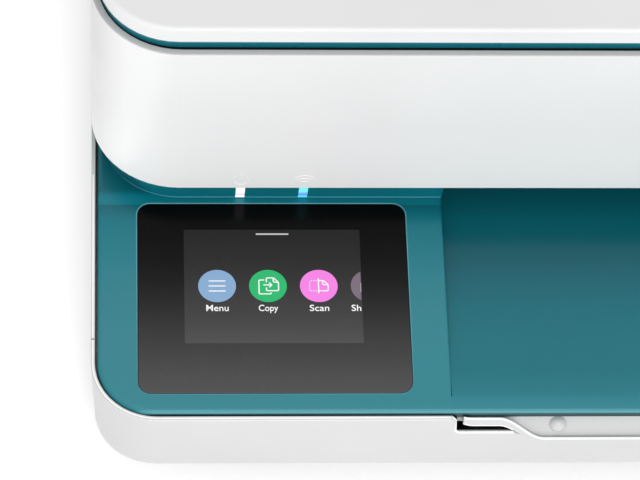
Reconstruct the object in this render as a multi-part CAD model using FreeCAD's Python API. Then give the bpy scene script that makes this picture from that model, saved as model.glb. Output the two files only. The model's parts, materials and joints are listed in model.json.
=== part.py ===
import FreeCAD, Part
import math
import os

from FreeCAD import Vector

# Flatbed inkjet printer with a touch panel, in millimetres.
# Origin: centre of the footprint on the table. +X to the printer's right hand side as
# its user sees it, +Y to the back, +Z up.
os.makedirs("parts", exist_ok=True)

# ---------------------------------------------------------------- overall sizes
HALF_W = 230.0
FRONT_Y = -191.5
BACK_Y = 191.5
SHELL_Z = 12.0
DECK_FRONT_Y = -189.6
DECK_FRONT_Z = 40.7
TILT = math.radians(2.7)
SLOPE = math.tan(TILT)
SHELL_TAPER = 1.2
CORNER_R = 20.2

# ---------------------------------------------------------------- scanner housing
HOUSE_FRONT_Y = -114.8
HOUSE_Z0 = 53.6
HOUSE_Z1 = 121.0
HOUSE_R = 27.4
HOUSE_WALL = 2.1
HINGE_Y = 184.5
HINGE_Z = 64.0
PAN_Z = 94.0
BEZEL_Z = 119.4
GLASS_Z = 115.0

# ---------------------------------------------------------------- scanner lid
LID_SIDE = 2.1
LID_FRONT = 2.95
LID_Z0 = 120.2
LID_BAND_Z = 123.7
LID_Z1 = 129.7
LID_R = 24.3
LID_AXIS_Y = 174.0
LID_AXIS_Z = (LID_Z0 + LID_Z1) / 2
LID_BARREL = (LID_Z1 - LID_Z0) / 2

# ---------------------------------------------------------------- paper path
RECESS_X = 120.0
TRAY_X = 128.0
TRAY_SEAM_Y = -163.0
SLOT_X = 119.0
SHOULDER_Z = 31.9
RIM_DROP = 0.55
DIP_X0, DIP_X1 = 105.6, 91.6
DECK_BACK_Y = -62.0
ROLLER_Z = 52.0
FEED_Y = 20.0
EXIT_Y = -45.0
ROD_Y = 34.0
ROD_Z = 72.0
BELT_Y = 50.0
BELT_Z = 74.0
PULLEY_R = 6.0
PARK_X = 142.0


# ---------------------------------------------------------------- helpers
def box(x0, x1, y0, y1, z0, z1):
    return Part.makeBox(x1 - x0, y1 - y0, z1 - z0, Vector(x0, y0, z0))


def rod_x(radius, x0, x1, y, z):
    return Part.makeCylinder(radius, x1 - x0, Vector(x0, y, z), Vector(1, 0, 0))


def rod_y(radius, y0, y1, x, z):
    return Part.makeCylinder(radius, y1 - y0, Vector(x, y0, z), Vector(0, 1, 0))


def rod_z(radius, z0, z1, x, y):
    return Part.makeCylinder(radius, z1 - z0, Vector(x, y, z0), Vector(0, 0, 1))


def fuse(shapes):
    whole = shapes[0].multiFuse(shapes[1:])
    return whole.removeSplitter()


def mirrored(shape):
    return shape.mirror(Vector(0, 0, 0), Vector(1, 0, 0))


def outline(x0, x1, y0, y1, r_front, r_back, z):
    """Closed rounded rectangle, lying flat at height z."""
    corners = [
        (Vector(x0 + r_front, y0 + r_front, z), r_front, 180),
        (Vector(x1 - r_front, y0 + r_front, z), r_front, 270),
        (Vector(x1 - r_back, y1 - r_back, z), r_back, 0),
        (Vector(x0 + r_back, y1 - r_back, z), r_back, 90),
    ]
    arcs = []
    for centre, radius, start in corners:
        circle = Part.Circle(centre, Vector(0, 0, 1), radius)
        arcs.append(Part.Arc(circle, math.radians(start), math.radians(start + 90)).toShape())
    edges = []
    for i in range(4):
        edges.append(arcs[i])
        start = arcs[i].Vertexes[-1].Point
        end = arcs[(i + 1) % 4].Vertexes[0].Point
        if start.distanceToPoint(end) > 1e-6:
            edges.append(Part.makeLine(start, end))
    return Part.Wire(Part.__sortEdges__(edges))


def slab(x0, x1, y0, y1, z0, z1, r_front, r_back):
    face = Part.Face(outline(x0, x1, y0, y1, r_front, r_back, z0))
    return face.extrude(Vector(0, 0, z1 - z0))


def inset_slab(inset, z0, z1, front, r_front, r_back):
    """Slab of the printer's plan outline, drawn in on every side."""
    return slab(-HALF_W + inset, HALF_W - inset, front + inset, BACK_Y - inset,
                z0, z1, r_front - inset, r_back - inset)


def yz_prism(points, x0, x1):
    corners = [Vector(x0, y, z) for y, z in points]
    face = Part.Face(Part.makePolygon(corners + [corners[0]]))
    return face.extrude(Vector(x1 - x0, 0, 0))


def deck_z(y):
    """Height of the tilted deck plane."""
    return DECK_FRONT_Z + (y - DECK_FRONT_Y) * SLOPE


def on_deck(shape):
    """Move a shape drawn flat (u along +Y from the deck's front edge) onto the deck."""
    shape.rotate(Vector(0, 0, 0), Vector(1, 0, 0), math.degrees(TILT))
    shape.translate(Vector(0, DECK_FRONT_Y, DECK_FRONT_Z))
    return shape


def round_edges(shape, radius, wanted):
    edges = [e for e in shape.Edges if wanted(e)]
    return shape.makeFillet(radius, edges)


def save(shape, node):
    shape.exportStep("parts/" + node + ".step")
    print(node, len(shape.Solids), round(shape.Volume / 1000, 2), shape.isValid())


def involute(angle):
    return math.tan(angle) - angle


def gear_x(teeth, phase, y, z, x0, x1, bore):
    """Module 1 spur gear with its axis along X; phase is one tooth's angle from +Y."""
    pitch_r = teeth / 2
    base_r = pitch_r * math.cos(math.radians(20))
    half = (math.pi / 2 - 0.25) / (2 * pitch_r) + involute(math.radians(20))
    root_r = pitch_r - 1.15
    tip_r = pitch_r + 0.75
    flank = []
    for step in range(5):
        r = root_r + (tip_r - root_r) * step / 4
        pressure = math.acos(min(1.0, base_r / max(r, base_r)))
        flank.append((r, half - involute(pressure)))
    points = []
    for tooth in range(teeth):
        centre = phase + 2 * math.pi * tooth / teeth
        for r, a in flank:
            points.append((r, centre - a))
        for r, a in reversed(flank):
            points.append((r, centre + a))
    ring = [(y + r * math.cos(a), z + r * math.sin(a)) for r, a in points]
    return yz_prism(ring, x0, x1).cut(rod_x(bore, x0 - 1, x1 + 1, y, z))


def meshing_phase(phase_a, teeth_a, at_a, teeth_b, at_b):
    """Phase of gear b that puts it in mesh with gear a."""
    toward = math.atan2(at_b[1] - at_a[1], at_b[0] - at_a[0])
    part = (toward - phase_a) * teeth_a / (2 * math.pi)
    return toward + math.pi - (0.5 - part) * 2 * math.pi / teeth_b


# ---------------------------------------------------------------- outer shell of the base
# The wall leans in towards its bottom edge and its top follows the deck's slope until it
# meets the scanner housing; the front part belongs to the paper tray.
wide = outline(-HALF_W, HALF_W, FRONT_Y, BACK_Y, CORNER_R, CORNER_R, DECK_FRONT_Z)
low = outline(-HALF_W + SHELL_TAPER, HALF_W - SHELL_TAPER, FRONT_Y + SHELL_TAPER,
              BACK_Y - SHELL_TAPER, CORNER_R - SHELL_TAPER, CORNER_R - SHELL_TAPER, SHELL_Z)
skin = Part.makeLoft([low, wide], True)
skin = round_edges(skin, 1.6, lambda e: e.BoundBox.ZMax < SHELL_Z + 0.01)
skin = fuse([skin, slab(-HALF_W, HALF_W, FRONT_Y, BACK_Y, DECK_FRONT_Z, 61.2, CORNER_R, CORNER_R)])
hollow_low = inset_slab(3.2, SHELL_Z - 1, 34.0, FRONT_Y, CORNER_R, CORNER_R)
hollow_top = inset_slab(1.2, 33.9, 70.0, FRONT_Y, CORNER_R, CORNER_R)
wall = skin.cut(hollow_low).cut(hollow_top)
level_y = DECK_FRONT_Y + (52.9 + RIM_DROP - DECK_FRONT_Z) / SLOPE
above = yz_prism([(-200, deck_z(-200) - RIM_DROP), (level_y, 52.9), (172.7, 52.9), (172.7, 61.2),
                  (200, 61.2), (200, 90), (-200, 90)], -240, 240)
wall = wall.cut(above)
rim = wall.copy()

thick = inset_slab(1.1, 33.0, 52.9, FRONT_Y, CORNER_R, CORNER_R)
thick = thick.cut(inset_slab(2.6, 32.0, 70.0, FRONT_Y, CORNER_R, CORNER_R))
thick = thick.cut(box(-240, 240, -200, -44, 0, 90)).cut(above)
base_shell = fuse([wall, thick]).cut(box(-240, 240, -200, TRAY_SEAM_Y + 0.2, 0, 90))
port_cut = box(121, 211, 185, 200, 19, 54)
base_shell = base_shell.cut(port_cut)
for x in range(-96, 100, 12):
    base_shell = base_shell.cut(slab(x - 2, x + 2, 185, 200, 26, 44, 1.5, 1.5))
save(base_shell, "base_shell")

# Bottom pan: floor inside the shell, with a set-back plinth that carries the feet.
floor = slab(-226.6, 226.6, -162.6, 188.0, SHELL_Z, 14.4, 6, 16)
plinth = slab(-204, 204, -168, 176, 3.0, SHELL_Z, 14, 14)
plinth = plinth.cut(slab(-201, 201, -165, 173, 3.0 - 1, SHELL_Z - 2, 11, 11))
feet_at = [(-182, -146), (182, -146), (-182, 154), (182, 154)]
pan_parts = [floor, plinth]
for x, y in feet_at:
    pan_parts.append(rod_z(13, 3.0, SHELL_Z, x, y))
base_pan = fuse(pan_parts)
for x, y in feet_at:
    base_pan = base_pan.cut(rod_z(9.5, 2.0, 4.4, x, y))
save(base_pan, "base_pan")

feet = []
for x, y in feet_at:
    pad = rod_z(9.5, 0.0, 4.4, x, y)
    feet.append(round_edges(pad, 0.8, lambda e: e.BoundBox.ZMax < 0.01))
save(Part.makeCompound(feet), "feet")

# ---------------------------------------------------------------- deck and touch panel
deck_outline = slab(-228.1, 228.1, DECK_FRONT_Y, DECK_BACK_Y, 20, 60, 18.3, 4)
skirt_cut = slab(-226.5, 226.5, DECK_FRONT_Y + 1.6, -40, 10, 70, 16.7, 4)


def below_deck(drop, reach):
    """Space between the deck plane lowered by drop and by reach."""
    return yz_prism([(-200, deck_z(-200) - drop), (-40, deck_z(-40) - drop),
                     (-40, deck_z(-40) - reach), (-200, deck_z(-200) - reach)], -240, 240)


plate = deck_outline.common(below_deck(0.0, 2.2))
skirt = deck_outline.cut(skirt_cut).common(below_deck(0.0, 5.2))
skirt = skirt.cut(box(-121.5, 121.5, -200, -180, 10, 60)).cut(box(-240, 240, -72, 0, 0, 90))
deck = fuse([plate, skirt])


def on_deck_plane(edge):
    for vertex in edge.Vertexes:
        if abs(vertex.Z - deck_z(vertex.Y)) > 0.01:
            return False
    return True


def deck_rim_edge(edge):
    box_ = edge.BoundBox
    outside = box_.YMax < -165 or abs(box_.XMax) > 228 or abs(box_.XMin) > 228
    return on_deck_plane(edge) and outside


deck = round_edges(deck, 1.5, deck_rim_edge)

# The output recess is sunk between the two side decks and rises to the front band.
top_line = [Vector(-RECESS_X, y, z) for y, z in
            ((-183.8, deck_z(-183.8) - 0.02), (-179.0, 40.72), (-170.0, 40.25), (-111.7, 38.6),
             (DECK_BACK_Y, 37.2))]
curve = Part.BSplineCurve()
curve.interpolate(top_line)
under = [Vector(p.x, p.y, p.z - 2.0) for p in top_line]
lower_curve = Part.BSplineCurve()
lower_curve.interpolate(under)
recess_face = Part.Face(Part.Wire([
    curve.toShape(), Part.makeLine(top_line[-1], under[-1]),
    lower_curve.toShape(), Part.makeLine(under[0], top_line[0])]))
recess_floor = recess_face.extrude(Vector(2 * RECESS_X, 0, 0))
sides = []
for side in (-1, 1):
    x0, x1 = sorted((side * RECESS_X, side * (RECESS_X + 1.5)))
    cheek = yz_prism([(-184.5, deck_z(-184.5) - 1), (-184.5, deck_z(-184.5) - 2.1), (-165, 37.8),
                      (DECK_BACK_Y, 35.2), (DECK_BACK_Y, deck_z(DECK_BACK_Y) - 1)], x0, x1)
    sides.append(cheek)
deck = deck.cut(box(-RECESS_X, RECESS_X, -183.8, -40, 0, 90))
deck = round_edges(deck, 0.8, lambda e: on_deck_plane(e) and abs(abs(e.BoundBox.Center.x) - RECESS_X) < 0.01
                   and e.BoundBox.YLength > 100)
legs = []
for side in (-1, 1):
    x0, x1 = sorted((side * 218, side * 221))
    legs.append(yz_prism([(-150, 14.4), (-64, 14.4), (-64, deck_z(-64) - 1.5),
                          (-150, deck_z(-150) - 1.5)], x0, x1))
    x0, x1 = sorted((side * 131, side * 134))
    legs.append(yz_prism([(-110, 14.4), (-64, 14.4), (-64, deck_z(-64) - 1.5),
                          (-110, deck_z(-110) - 1.5)], x0, x1))
deck = fuse([deck, recess_floor] + sides + legs)

PANEL_X0, PANEL_X1 = -215.6, -131.8
PANEL_U0, PANEL_U1 = 7.0, 75.4
pocket = on_deck(slab(PANEL_X0 - 0.25, PANEL_X1 + 0.25, PANEL_U0 - 0.25, PANEL_U1 + 0.25, -1.5, 3, 4.2, 4.2))
window = on_deck(slab(PANEL_X0 + 8, PANEL_X1 - 8, PANEL_U0 + 8, PANEL_U1 - 2.6, -4, 3, 2, 2))
deck = deck.cut(pocket).cut(window)
save(deck, "deck_frame")

glass = slab(PANEL_X0, PANEL_X1, PANEL_U0, PANEL_U1, -1.5, 0.2, 4.0, 4.0)
glass = round_edges(glass, 0.35, lambda e: e.BoundBox.ZMin > 0.19)
save(on_deck(glass), "touch_glass")

display = fuse([box(-203.5, -144.5, 22.5, 71.5, -5.0, -1.5), box(-206, -141, 20, 72.5, -5.8, -5.0)])
save(on_deck(display), "display_module")

board = slab(-212, -138, 14, 70, -8.4, -6.8, 2, 2)
chips = [box(-200, -186, 26, 40, -9.8, -8.4), box(-170, -150, 30, 44, -9.6, -8.4),
         box(-206, -144, 22, 68, -6.8, -5.8)]
save(on_deck(fuse([board] + chips)), "panel_board")

# ---------------------------------------------------------------- paper tray
# Its white front wraps round both front corners; the middle of its rim is cut down to
# let the scoop of the output extension through, following its S-curve.


def smooth(t):
    return t * t * (3 - 2 * t)


tray_front = rim.common(box(-240, 240, -200, TRAY_SEAM_Y - 0.2, 0, 90))
half_notch = []
for i in range(9):
    t = 1 - i / 12
    half_notch.append((DIP_X0 + (DIP_X1 - DIP_X0) * t, min(SHOULDER_Z, 33.9 - 6.9 * smooth(t))))
half_notch += [(SLOT_X, SHOULDER_Z), (SLOT_X, 38.6), (SLOT_X + 1.5, 40.4), (SLOT_X + 1.5, 50)]
low_notch = half_notch + [(-x, z) for x, z in reversed(half_notch)]
corners = [Vector(x, -200, z) for x, z in low_notch]
notch = Part.Face(Part.makePolygon(corners + [corners[0]])).extrude(Vector(0, 12, 0))
notch = round_edges(notch, 1.2, lambda e: abs(abs(e.BoundBox.Center.x) - SLOT_X) < 0.01
                    and abs(e.BoundBox.Center.z - SHOULDER_Z) < 0.01)
tray_front = tray_front.cut(notch)
tray_front = tray_front.cut(box(-SLOT_X, SLOT_X, FRONT_Y + 1.3, -186, 22, 60))
sill = slab(-227.4, 227.4, -188.9, -166, 12.6, 14.2, 17.4, 1)
tray_front = fuse([tray_front, sill])
save(tray_front, "tray_front")

tray = box(-TRAY_X, TRAY_X, -188.3, 128, 15.0, 31.0)
tray = tray.cut(box(-TRAY_X + 3, TRAY_X - 3, -186.0, 126, 16.8, 40))
tray = tray.cut(box(-TRAY_X + 3, TRAY_X - 3, 120, 130, 20.0, 40))
tray = tray.cut(box(-TRAY_X - 1, TRAY_X + 1, -190, -183, 27.0, 40))
for x in (-80, -48, 48, 80):
    tray = tray.cut(slab(x - 8, x + 8, -140, 90, 14, 18, 4, 4))
tray = fuse([tray, box(-TRAY_X, TRAY_X, -188.3, -184, 14.2, 15.4)])
save(tray, "tray_body")


def width_guide(side):
    x_in, x_out = side * 108.5, side * 110.5
    upright = box(min(x_in, x_out), max(x_in, x_out), -60, 60, 16.9, 29.5)
    foot = box(min(x_in, side * 122), max(x_in, side * 122), -40, 40, 16.9, 18.4)
    rib_a = box(min(x_in, side * 118), max(x_in, side * 118), -2, 2, 18, 27)
    return fuse([upright, foot, rib_a])


save(width_guide(-1), "guide_left")
save(width_guide(1), "guide_right")

stop = fuse([box(-30, 30, -174.5, -172.5, 16.9, 28.5), box(-30, 30, -183.0, -172.5, 16.9, 18.4),
             box(-2, 2, -182, -173, 18, 26)])
save(stop, "length_guide")

# ---------------------------------------------------------------- output extension
# A flat slider under the recess; its front is a scoop whose lip dips in an S-curve.


def scoop_section(x, dip, curl=0.0):
    """Section of the scoop: dip is 0 on the shoulders and 1 in the middle; curl lifts the rim."""
    rim_y = -190.6 - 2.4 * dip - 0.5 * curl
    rim_z = 38.3 - 7.5 * dip + curl
    low_z = rim_z - 3.4 + 0.6 * dip + 0.3 * curl
    points = [(-187.6, 37.4), (-187.6, 35.0 - 0.6 * dip), (rim_y + 1.0, low_z - 0.5), (rim_y, low_z),
              (rim_y, rim_z), (rim_y + 0.9, rim_z + 0.1 - 0.2 * curl), (rim_y + 1.4, rim_z - 0.6 - curl)]
    corners_ = [Vector(x, y, z) for y, z in points]
    return Part.makePolygon(corners_ + [corners_[0]])


dips = []
for i in range(9):
    t = i / 8
    dips.append(scoop_section((DIP_X0 - DIP_X1) * t - DIP_X0, smooth(t)))
left_dip = Part.makeLoft(dips, True, False)
left_end = Part.makeLoft([scoop_section(-112, 0), scoop_section(-DIP_X0, 0)], True, True)
curls = []
for x, curl in ((-116.8, 2.1), (-116.0, 1.2), (-115.0, 0.45), (-113.8, 0.08), (-112, 0.0)):
    curls.append(scoop_section(x, 0, curl))
left_curl = Part.makeLoft(curls, True, False)
middle = Part.makeLoft([scoop_section(-DIP_X1, 1), scoop_section(DIP_X1, 1)], True, True)
slider = box(-104, 104, -187.6, -34, 32.4, 34.4)
riser = box(-104, 104, -187.6, -186.2, 32.4, 37.4)
shelf = box(-116.8, 116.8, -187.6, -186.2, 35.0, 37.4)
ledge = box(-118.2, 118.2, -187.6, -186.2, 33.0, 35.0)
domes = []
for x in (-87.4, 87.4):
    domes.append(Part.makeSphere(2.9, Vector(x, -188.6, 33.6)))
halves = [left_dip, left_end, left_curl, mirrored(left_dip), mirrored(left_end), mirrored(left_curl)]
scoop = fuse([middle, riser, shelf, ledge, slider] + halves + domes)
scoop = scoop.cut(box(-60, 60, -160, -60, 30, 33.2))
save(scoop, "output_extension")

# ---------------------------------------------------------------- rear sockets
panel = slab(118, 214, 191.5, 193.0, 16, 57, 0.6, 0.6)
panel = fuse([panel, box(121.3, 210.7, 189.2, 191.5, 19.3, 53.7)])
panel = panel.cut(box(170, 192, 180, 200, 20, 34)).cut(box(144, 157, 180, 200, 41.7, 53.2))
panel = panel.cut(rod_y(4.7, 180, 200, 131, 30))
save(panel, "rear_panel")

inlet = box(170.2, 191.8, 176, 192.4, 20.2, 33.8)
well = slab(172.6, 189.4, 23.4, 30.6, -192.8, -181, 3.5, 3.5)
well.rotate(Vector(0, 0, 0), Vector(1, 0, 0), 90)
inlet = inlet.cut(well)
inlet = fuse([inlet, rod_y(1.2, 180.9, 190, 176.8, 27), rod_y(1.2, 180.9, 190, 185.2, 27)])
save(inlet, "power_inlet")

usb = box(144.4, 156.6, 176.5, 192.2, 41.8, 52.9)
usb = usb.cut(box(146.0, 155.0, 183, 194, 43.4, 51.4))
usb = fuse([usb, box(148, 153, 182.8, 190.5, 46.2, 48.8)])
save(usb, "usb_port")

button = rod_y(4.4, 185.5, 192.6, 131, 30)
button = round_edges(button, 0.6, lambda e: e.BoundBox.YMin > 192.5)
button = fuse([button, rod_y(6.0, 184.5, 187.2, 131, 30)])
save(button, "power_button")

supply = slab(150, 214, 62, 174, 14.4, 36, 3, 3)
supply = fuse([supply, box(168, 194, 174, 176, 18, 36)])
for y in range(80, 160, 8):
    supply = supply.cut(box(160, 204, y, y + 3, 34, 40))
save(supply, "power_supply")

main = box(60, 165, 150, 182, 40.0, 41.6)
main = fuse([main, box(80, 100, 156, 176, 41.6, 44), box(110, 124, 158, 172, 41.6, 43.6),
             box(64, 70, 152, 180, 41.6, 49), rod_z(5, 41.6, 52, 134, 160),
             rod_z(2, 14.4, 40.0, 64, 154), rod_z(2, 14.4, 40.0, 64, 178), rod_z(2, 14.4, 40.0, 140, 178)])
save(main, "main_board")

# ---------------------------------------------------------------- print engine frame
left_plate = box(-178, -176, -58, 60, 14.4, 90)
right_plate = box(196, 198, -58, 60, 14.4, 90)
back_beam = box(-176, 196, 58, 60, 60, 90)
front_beam = box(-178, 198, -60, -58, 66, 88)
front_lip = box(-176, 196, -58, -52, 66, 67.5)
arm_ears = [box(-42, -40, 54, 66, 42, 64), box(40, 42, 54, 66, 42, 64)]
arm_cross = box(-42, 42, 60, 66, 60.5, 64)
arm_pin = rod_x(2.5, -41, 41, 62, 46)
pulley_pins = [rod_y(2.0, 48.5, 58.5, -160, BELT_Z), rod_y(2.0, 48.5, 58.5, 182, BELT_Z)]
idler_pin = rod_x(2.5, -187.5, -177, -15, ROLLER_Z)
tabs = [box(-192, -176, -56, -40, 14.4, 16), box(-192, -176, 42, 58, 14.4, 16),
        box(196, 212, -56, -40, 14.4, 16), box(196, 212, 42, 58, 14.4, 16)]
frame = fuse([left_plate, right_plate, back_beam, front_beam, front_lip, arm_cross, arm_pin, idler_pin]
             + arm_ears + pulley_pins + tabs)
PINION_Y = FEED_Y + 27.5 * math.cos(math.radians(30))
PINION_Z = ROLLER_Z - 27.5 * math.sin(math.radians(30))
for radius, y, z in ((3.06, FEED_Y, ROLLER_Z), (2.56, EXIT_Y, ROLLER_Z), (2.6, PINION_Y, PINION_Z)):
    frame = frame.cut(rod_x(radius, -179, -175, y, z))
frame = frame.cut(rod_x(4.0, -179, 199, ROD_Y, ROD_Z))
frame = frame.cut(box(-179, -175, -30, 0, 22, 40)).cut(box(195, 199, -40, 30, 30, 60))
save(frame, "engine_frame")

screws = []
for x in (-186, 206):
    for y in (-48, 50):
        screws.append(fuse([rod_z(3.2, 16, 18.2, x, y).cut(box(x - 2.4, x + 2.4, y - 0.4, y + 0.4, 17.3, 19)),
                            ]))
save(Part.makeCompound(screws), "frame_screws")

save(rod_x(4.0, -178, 198, ROD_Y, ROD_Z), "carriage_rod")

platen_parts = [box(-176, 118, -36, 11, 47, 49), box(113, 118, -50, 27, 44, 58)]
for x in range(-105, 106, 15):
    platen_parts.append(box(x - 0.8, x + 0.8, -36, 11, 49, 57))
platen = fuse(platen_parts)
platen = platen.cut(rod_x(3.06, 110, 120, FEED_Y, ROLLER_Z)).cut(rod_x(2.56, 110, 120, EXIT_Y, ROLLER_Z))
save(platen, "platen")

# Curved guide that turns the sheet from the tray up to the feed roller.
bend = rod_x(21.6, -112, 112, 128, 38).cut(rod_x(19.6, -113, 113, 128, 38))
bend = bend.cut(box(-120, 120, 90, 128.5, 0, 90))
turn_parts = [bend, box(-112, 112, 40, 128.5, 57.6, 59.6)]
for x in (-110, 110):
    turn_parts.append(box(x - 2, x + 2, 140, 148, 14.4, 27))
turn_guide = fuse(turn_parts)
for x in (-41, 41):
    turn_guide = turn_guide.cut(box(x - 3, x + 3, 52, 68, 50, 70))
save(turn_guide, "turn_guide")

# ---------------------------------------------------------------- rollers and gear train
feed_parts = [rod_x(3.0, -187, 117, FEED_Y, ROLLER_Z)]
for x in (-85, 0, 85):
    feed_parts.append(rod_x(6.0, x - 15, x + 15, FEED_Y, ROLLER_Z))
save(fuse(feed_parts), "feed_roller")

exit_parts = [rod_x(2.5, -187, 117, EXIT_Y, ROLLER_Z)]
for x in range(-90, 91, 30):
    exit_parts.append(rod_x(6.0, x - 2.5, x + 2.5, EXIT_Y, ROLLER_Z))
save(fuse(exit_parts), "exit_roller")

feed_at = (FEED_Y, ROLLER_Z)
idler_at = (-15.0, ROLLER_Z)
exit_at = (EXIT_Y, ROLLER_Z)
pinion_at = (PINION_Y, PINION_Z)
feed_phase = 0.0
idler_phase = meshing_phase(feed_phase, 40, feed_at, 30, idler_at)
exit_phase = meshing_phase(idler_phase, 30, idler_at, 30, exit_at)
pinion_phase = meshing_phase(feed_phase, 40, feed_at, 15, pinion_at)
save(gear_x(40, feed_phase, FEED_Y, ROLLER_Z, -185, -180, 3.0), "feed_gear")
save(gear_x(30, idler_phase, -15.0, ROLLER_Z, -185, -180, 2.56), "idler_gear")
save(gear_x(30, exit_phase, EXIT_Y, ROLLER_Z, -185, -180, 2.5), "exit_gear")
pinion = gear_x(15, pinion_phase, PINION_Y, PINION_Z, -186, -179, 1.0)
pinion = fuse([pinion, rod_x(1.5, -186, -173, PINION_Y, PINION_Z)])
save(pinion, "motor_pinion")

feed_motor = fuse([rod_x(13, -176, -148, PINION_Y, PINION_Z), rod_x(4, -148, -145, PINION_Y, PINION_Z)])
feed_motor = feed_motor.cut(rod_x(1.56, -177, -172, PINION_Y, PINION_Z))
save(feed_motor, "feed_motor")

# Pick arm and roller, resting just above the stack in the tray.
arm_y, arm_z, pick_y, pick_z = 62.0, 46.0, 92.0, 31.0
tilt = math.atan2(pick_z - arm_z, pick_y - arm_y)
reach = math.hypot(pick_y - arm_y, pick_z - arm_z)
cheeks = []
for x0 in (-20, 18):
    bar = box(x0, x0 + 2, 0, reach, -4.5, 4.5)
    bar = fuse([bar, rod_x(4.5, x0, x0 + 2, 0, 0), rod_x(4.5, x0, x0 + 2, reach, 0)])
    cheeks.append(bar)
link = box(-20, 20, 8, 18, 2.0, 4.5)
sleeve = rod_x(4.5, -20, 20, 0, 0)
arm = fuse(cheeks + [link, sleeve])
arm.rotate(Vector(0, 0, 0), Vector(1, 0, 0), math.degrees(tilt))
arm.translate(Vector(0, arm_y, arm_z))
arm = arm.cut(rod_x(2.56, -21, 21, arm_y, arm_z)).cut(rod_x(2.06, -21, 21, pick_y, pick_z))
save(arm, "pick_arm")
save(fuse([rod_x(2.0, -20, 20, pick_y, pick_z), rod_x(9.0, -17, 17, pick_y, pick_z)]), "pick_roller")

# ---------------------------------------------------------------- carriage and its drive
CAR_X0, CAR_X1 = PARK_X - 46, PARK_X + 46
carriage = box(CAR_X0, CAR_X1, -44, 12, 60, 84)
carriage = carriage.cut(box(CAR_X0 + 3, PARK_X - 1.5, -41, 9, 62, 90))
carriage = carriage.cut(box(PARK_X + 1.5, CAR_X1 - 3, -41, 9, 62, 90))
for x in (PARK_X - 22, PARK_X + 22):
    carriage = carriage.cut(box(x - 8, x + 8, -20, 4, 58, 63))
bearing = box(CAR_X0 + 8, CAR_X1 - 8, 12, 42, 67, 78)
clamp = box(PARK_X - 12, PARK_X + 12, 38, 56, 81.6, 84)
clamp_post = box(PARK_X - 12, PARK_X + 12, 38, 42, 77, 84)
front_shoe = box(CAR_X0 + 10, CAR_X1 - 10, -56, -43, 67.8, 70)
ears = []
for x in (PARK_X - 43, PARK_X - 3.5, PARK_X + 0.5, PARK_X + 40):
    ears.append(box(x, x + 3, -44, -37, 83, 89.5))
carriage = fuse([carriage, bearing, clamp, clamp_post, front_shoe] + ears)
carriage = carriage.cut(rod_x(4.06, CAR_X0, CAR_X1, ROD_Y, ROD_Z))
LATCH_Y, LATCH_Z = -40.5, 87.0
carriage = carriage.cut(rod_x(1.06, CAR_X0, CAR_X1, LATCH_Y, LATCH_Z))
save(carriage, "carriage")


def cartridge(x0, x1):
    body = box(x0, x1, -39.5, 8.0, 62.3, 83.5)
    head = slab(x0 + 1, x1 - 1, -30, 8, 83.5, 87.0, 3, 3)
    middle_x = (x0 + x1) / 2
    nose = box(middle_x - 7, middle_x + 7, -19, 3, 60.4, 62.3)
    return fuse([body, head, nose])


save(cartridge(PARK_X - 42.5, PARK_X - 2.0), "cartridge_colour")
save(cartridge(PARK_X + 2.0, PARK_X + 42.5), "cartridge_black")


def latch(x0, x1):
    tab = box(x0 + 3.4, x1 - 3.4, -39.4, -31, 87.6, 89.2)
    hub = rod_x(2.0, x0 + 3.4, x1 - 3.4, LATCH_Y, LATCH_Z)
    pin = rod_x(1.0, x0 + 0.2, x1 - 0.2, LATCH_Y, LATCH_Z)
    return fuse([tab, hub, pin, box(x0 + 3.4, x1 - 3.4, -40.5, -37, 87.2, 89.2)])


save(latch(PARK_X - 43, PARK_X - 0.5), "latch_colour")
save(latch(PARK_X + 0.5, PARK_X + 43), "latch_black")

belt_outer = fuse([box(-160, 182, BELT_Y, BELT_Y + 5, BELT_Z - 7.2, BELT_Z + 7.2),
                   rod_y(7.2, BELT_Y, BELT_Y + 5, -160, BELT_Z), rod_y(7.2, BELT_Y, BELT_Y + 5, 182, BELT_Z)])
belt_inner = fuse([box(-160, 182, BELT_Y - 1, BELT_Y + 6, BELT_Z - 6.1, BELT_Z + 6.1),
                   rod_y(6.1, BELT_Y - 1, BELT_Y + 6, -160, BELT_Z), rod_y(6.1, BELT_Y - 1, BELT_Y + 6, 182, BELT_Z)])
save(belt_outer.cut(belt_inner), "carriage_belt")


def pulley(x):
    wheel = fuse([rod_y(PULLEY_R, BELT_Y - 0.2, BELT_Y + 5.2, x, BELT_Z),
                  rod_y(8.2, BELT_Y - 1.2, BELT_Y - 0.2, x, BELT_Z),
                  rod_y(8.2, BELT_Y + 5.2, BELT_Y + 6.2, x, BELT_Z)])
    wheel = wheel.cut(rod_y(2.06, BELT_Y - 2, BELT_Y + 7, x, BELT_Z))
    for k in range(5):
        a = 2 * math.pi * k / 5
        wheel = wheel.cut(rod_y(0.9, BELT_Y - 2, BELT_Y + 7, x + 4.1 * math.cos(a), BELT_Z + 4.1 * math.sin(a)))
    return wheel


save(pulley(-160), "drive_pulley")
save(pulley(182), "idler_pulley")
motor = fuse([rod_y(15, 60, 84, -160, BELT_Z), rod_y(4, 84, 87, -160, BELT_Z)])
save(motor, "carriage_motor")

tub = box(124, 192, -40, 16, 34, 52).cut(box(126, 190, -38, 14, 36, 60))
tub = fuse([tub, box(136, 140, -38, 14, 14.4, 35), box(184, 188, -38, 14, 14.4, 35),
            box(134, 150, -24, 8, 36, 54), box(156, 172, -24, 8, 36, 54), box(180, 184, -30, 10, 36, 54)])
save(tub, "service_station")
caps = []
for x0 in (134.5, 156.5):
    cap = slab(x0 - 0.5, x0 + 14.5, -20, 4, 54, 59.8, 2, 2)
    caps.append(cap.cut(slab(x0 + 1, x0 + 13, -18.5, 2.5, 55, 61, 1, 1)))
caps.append(box(181.4, 182.6, -24, 4, 54, 59.6))
save(Part.makeCompound(caps), "cap_pads")

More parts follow.
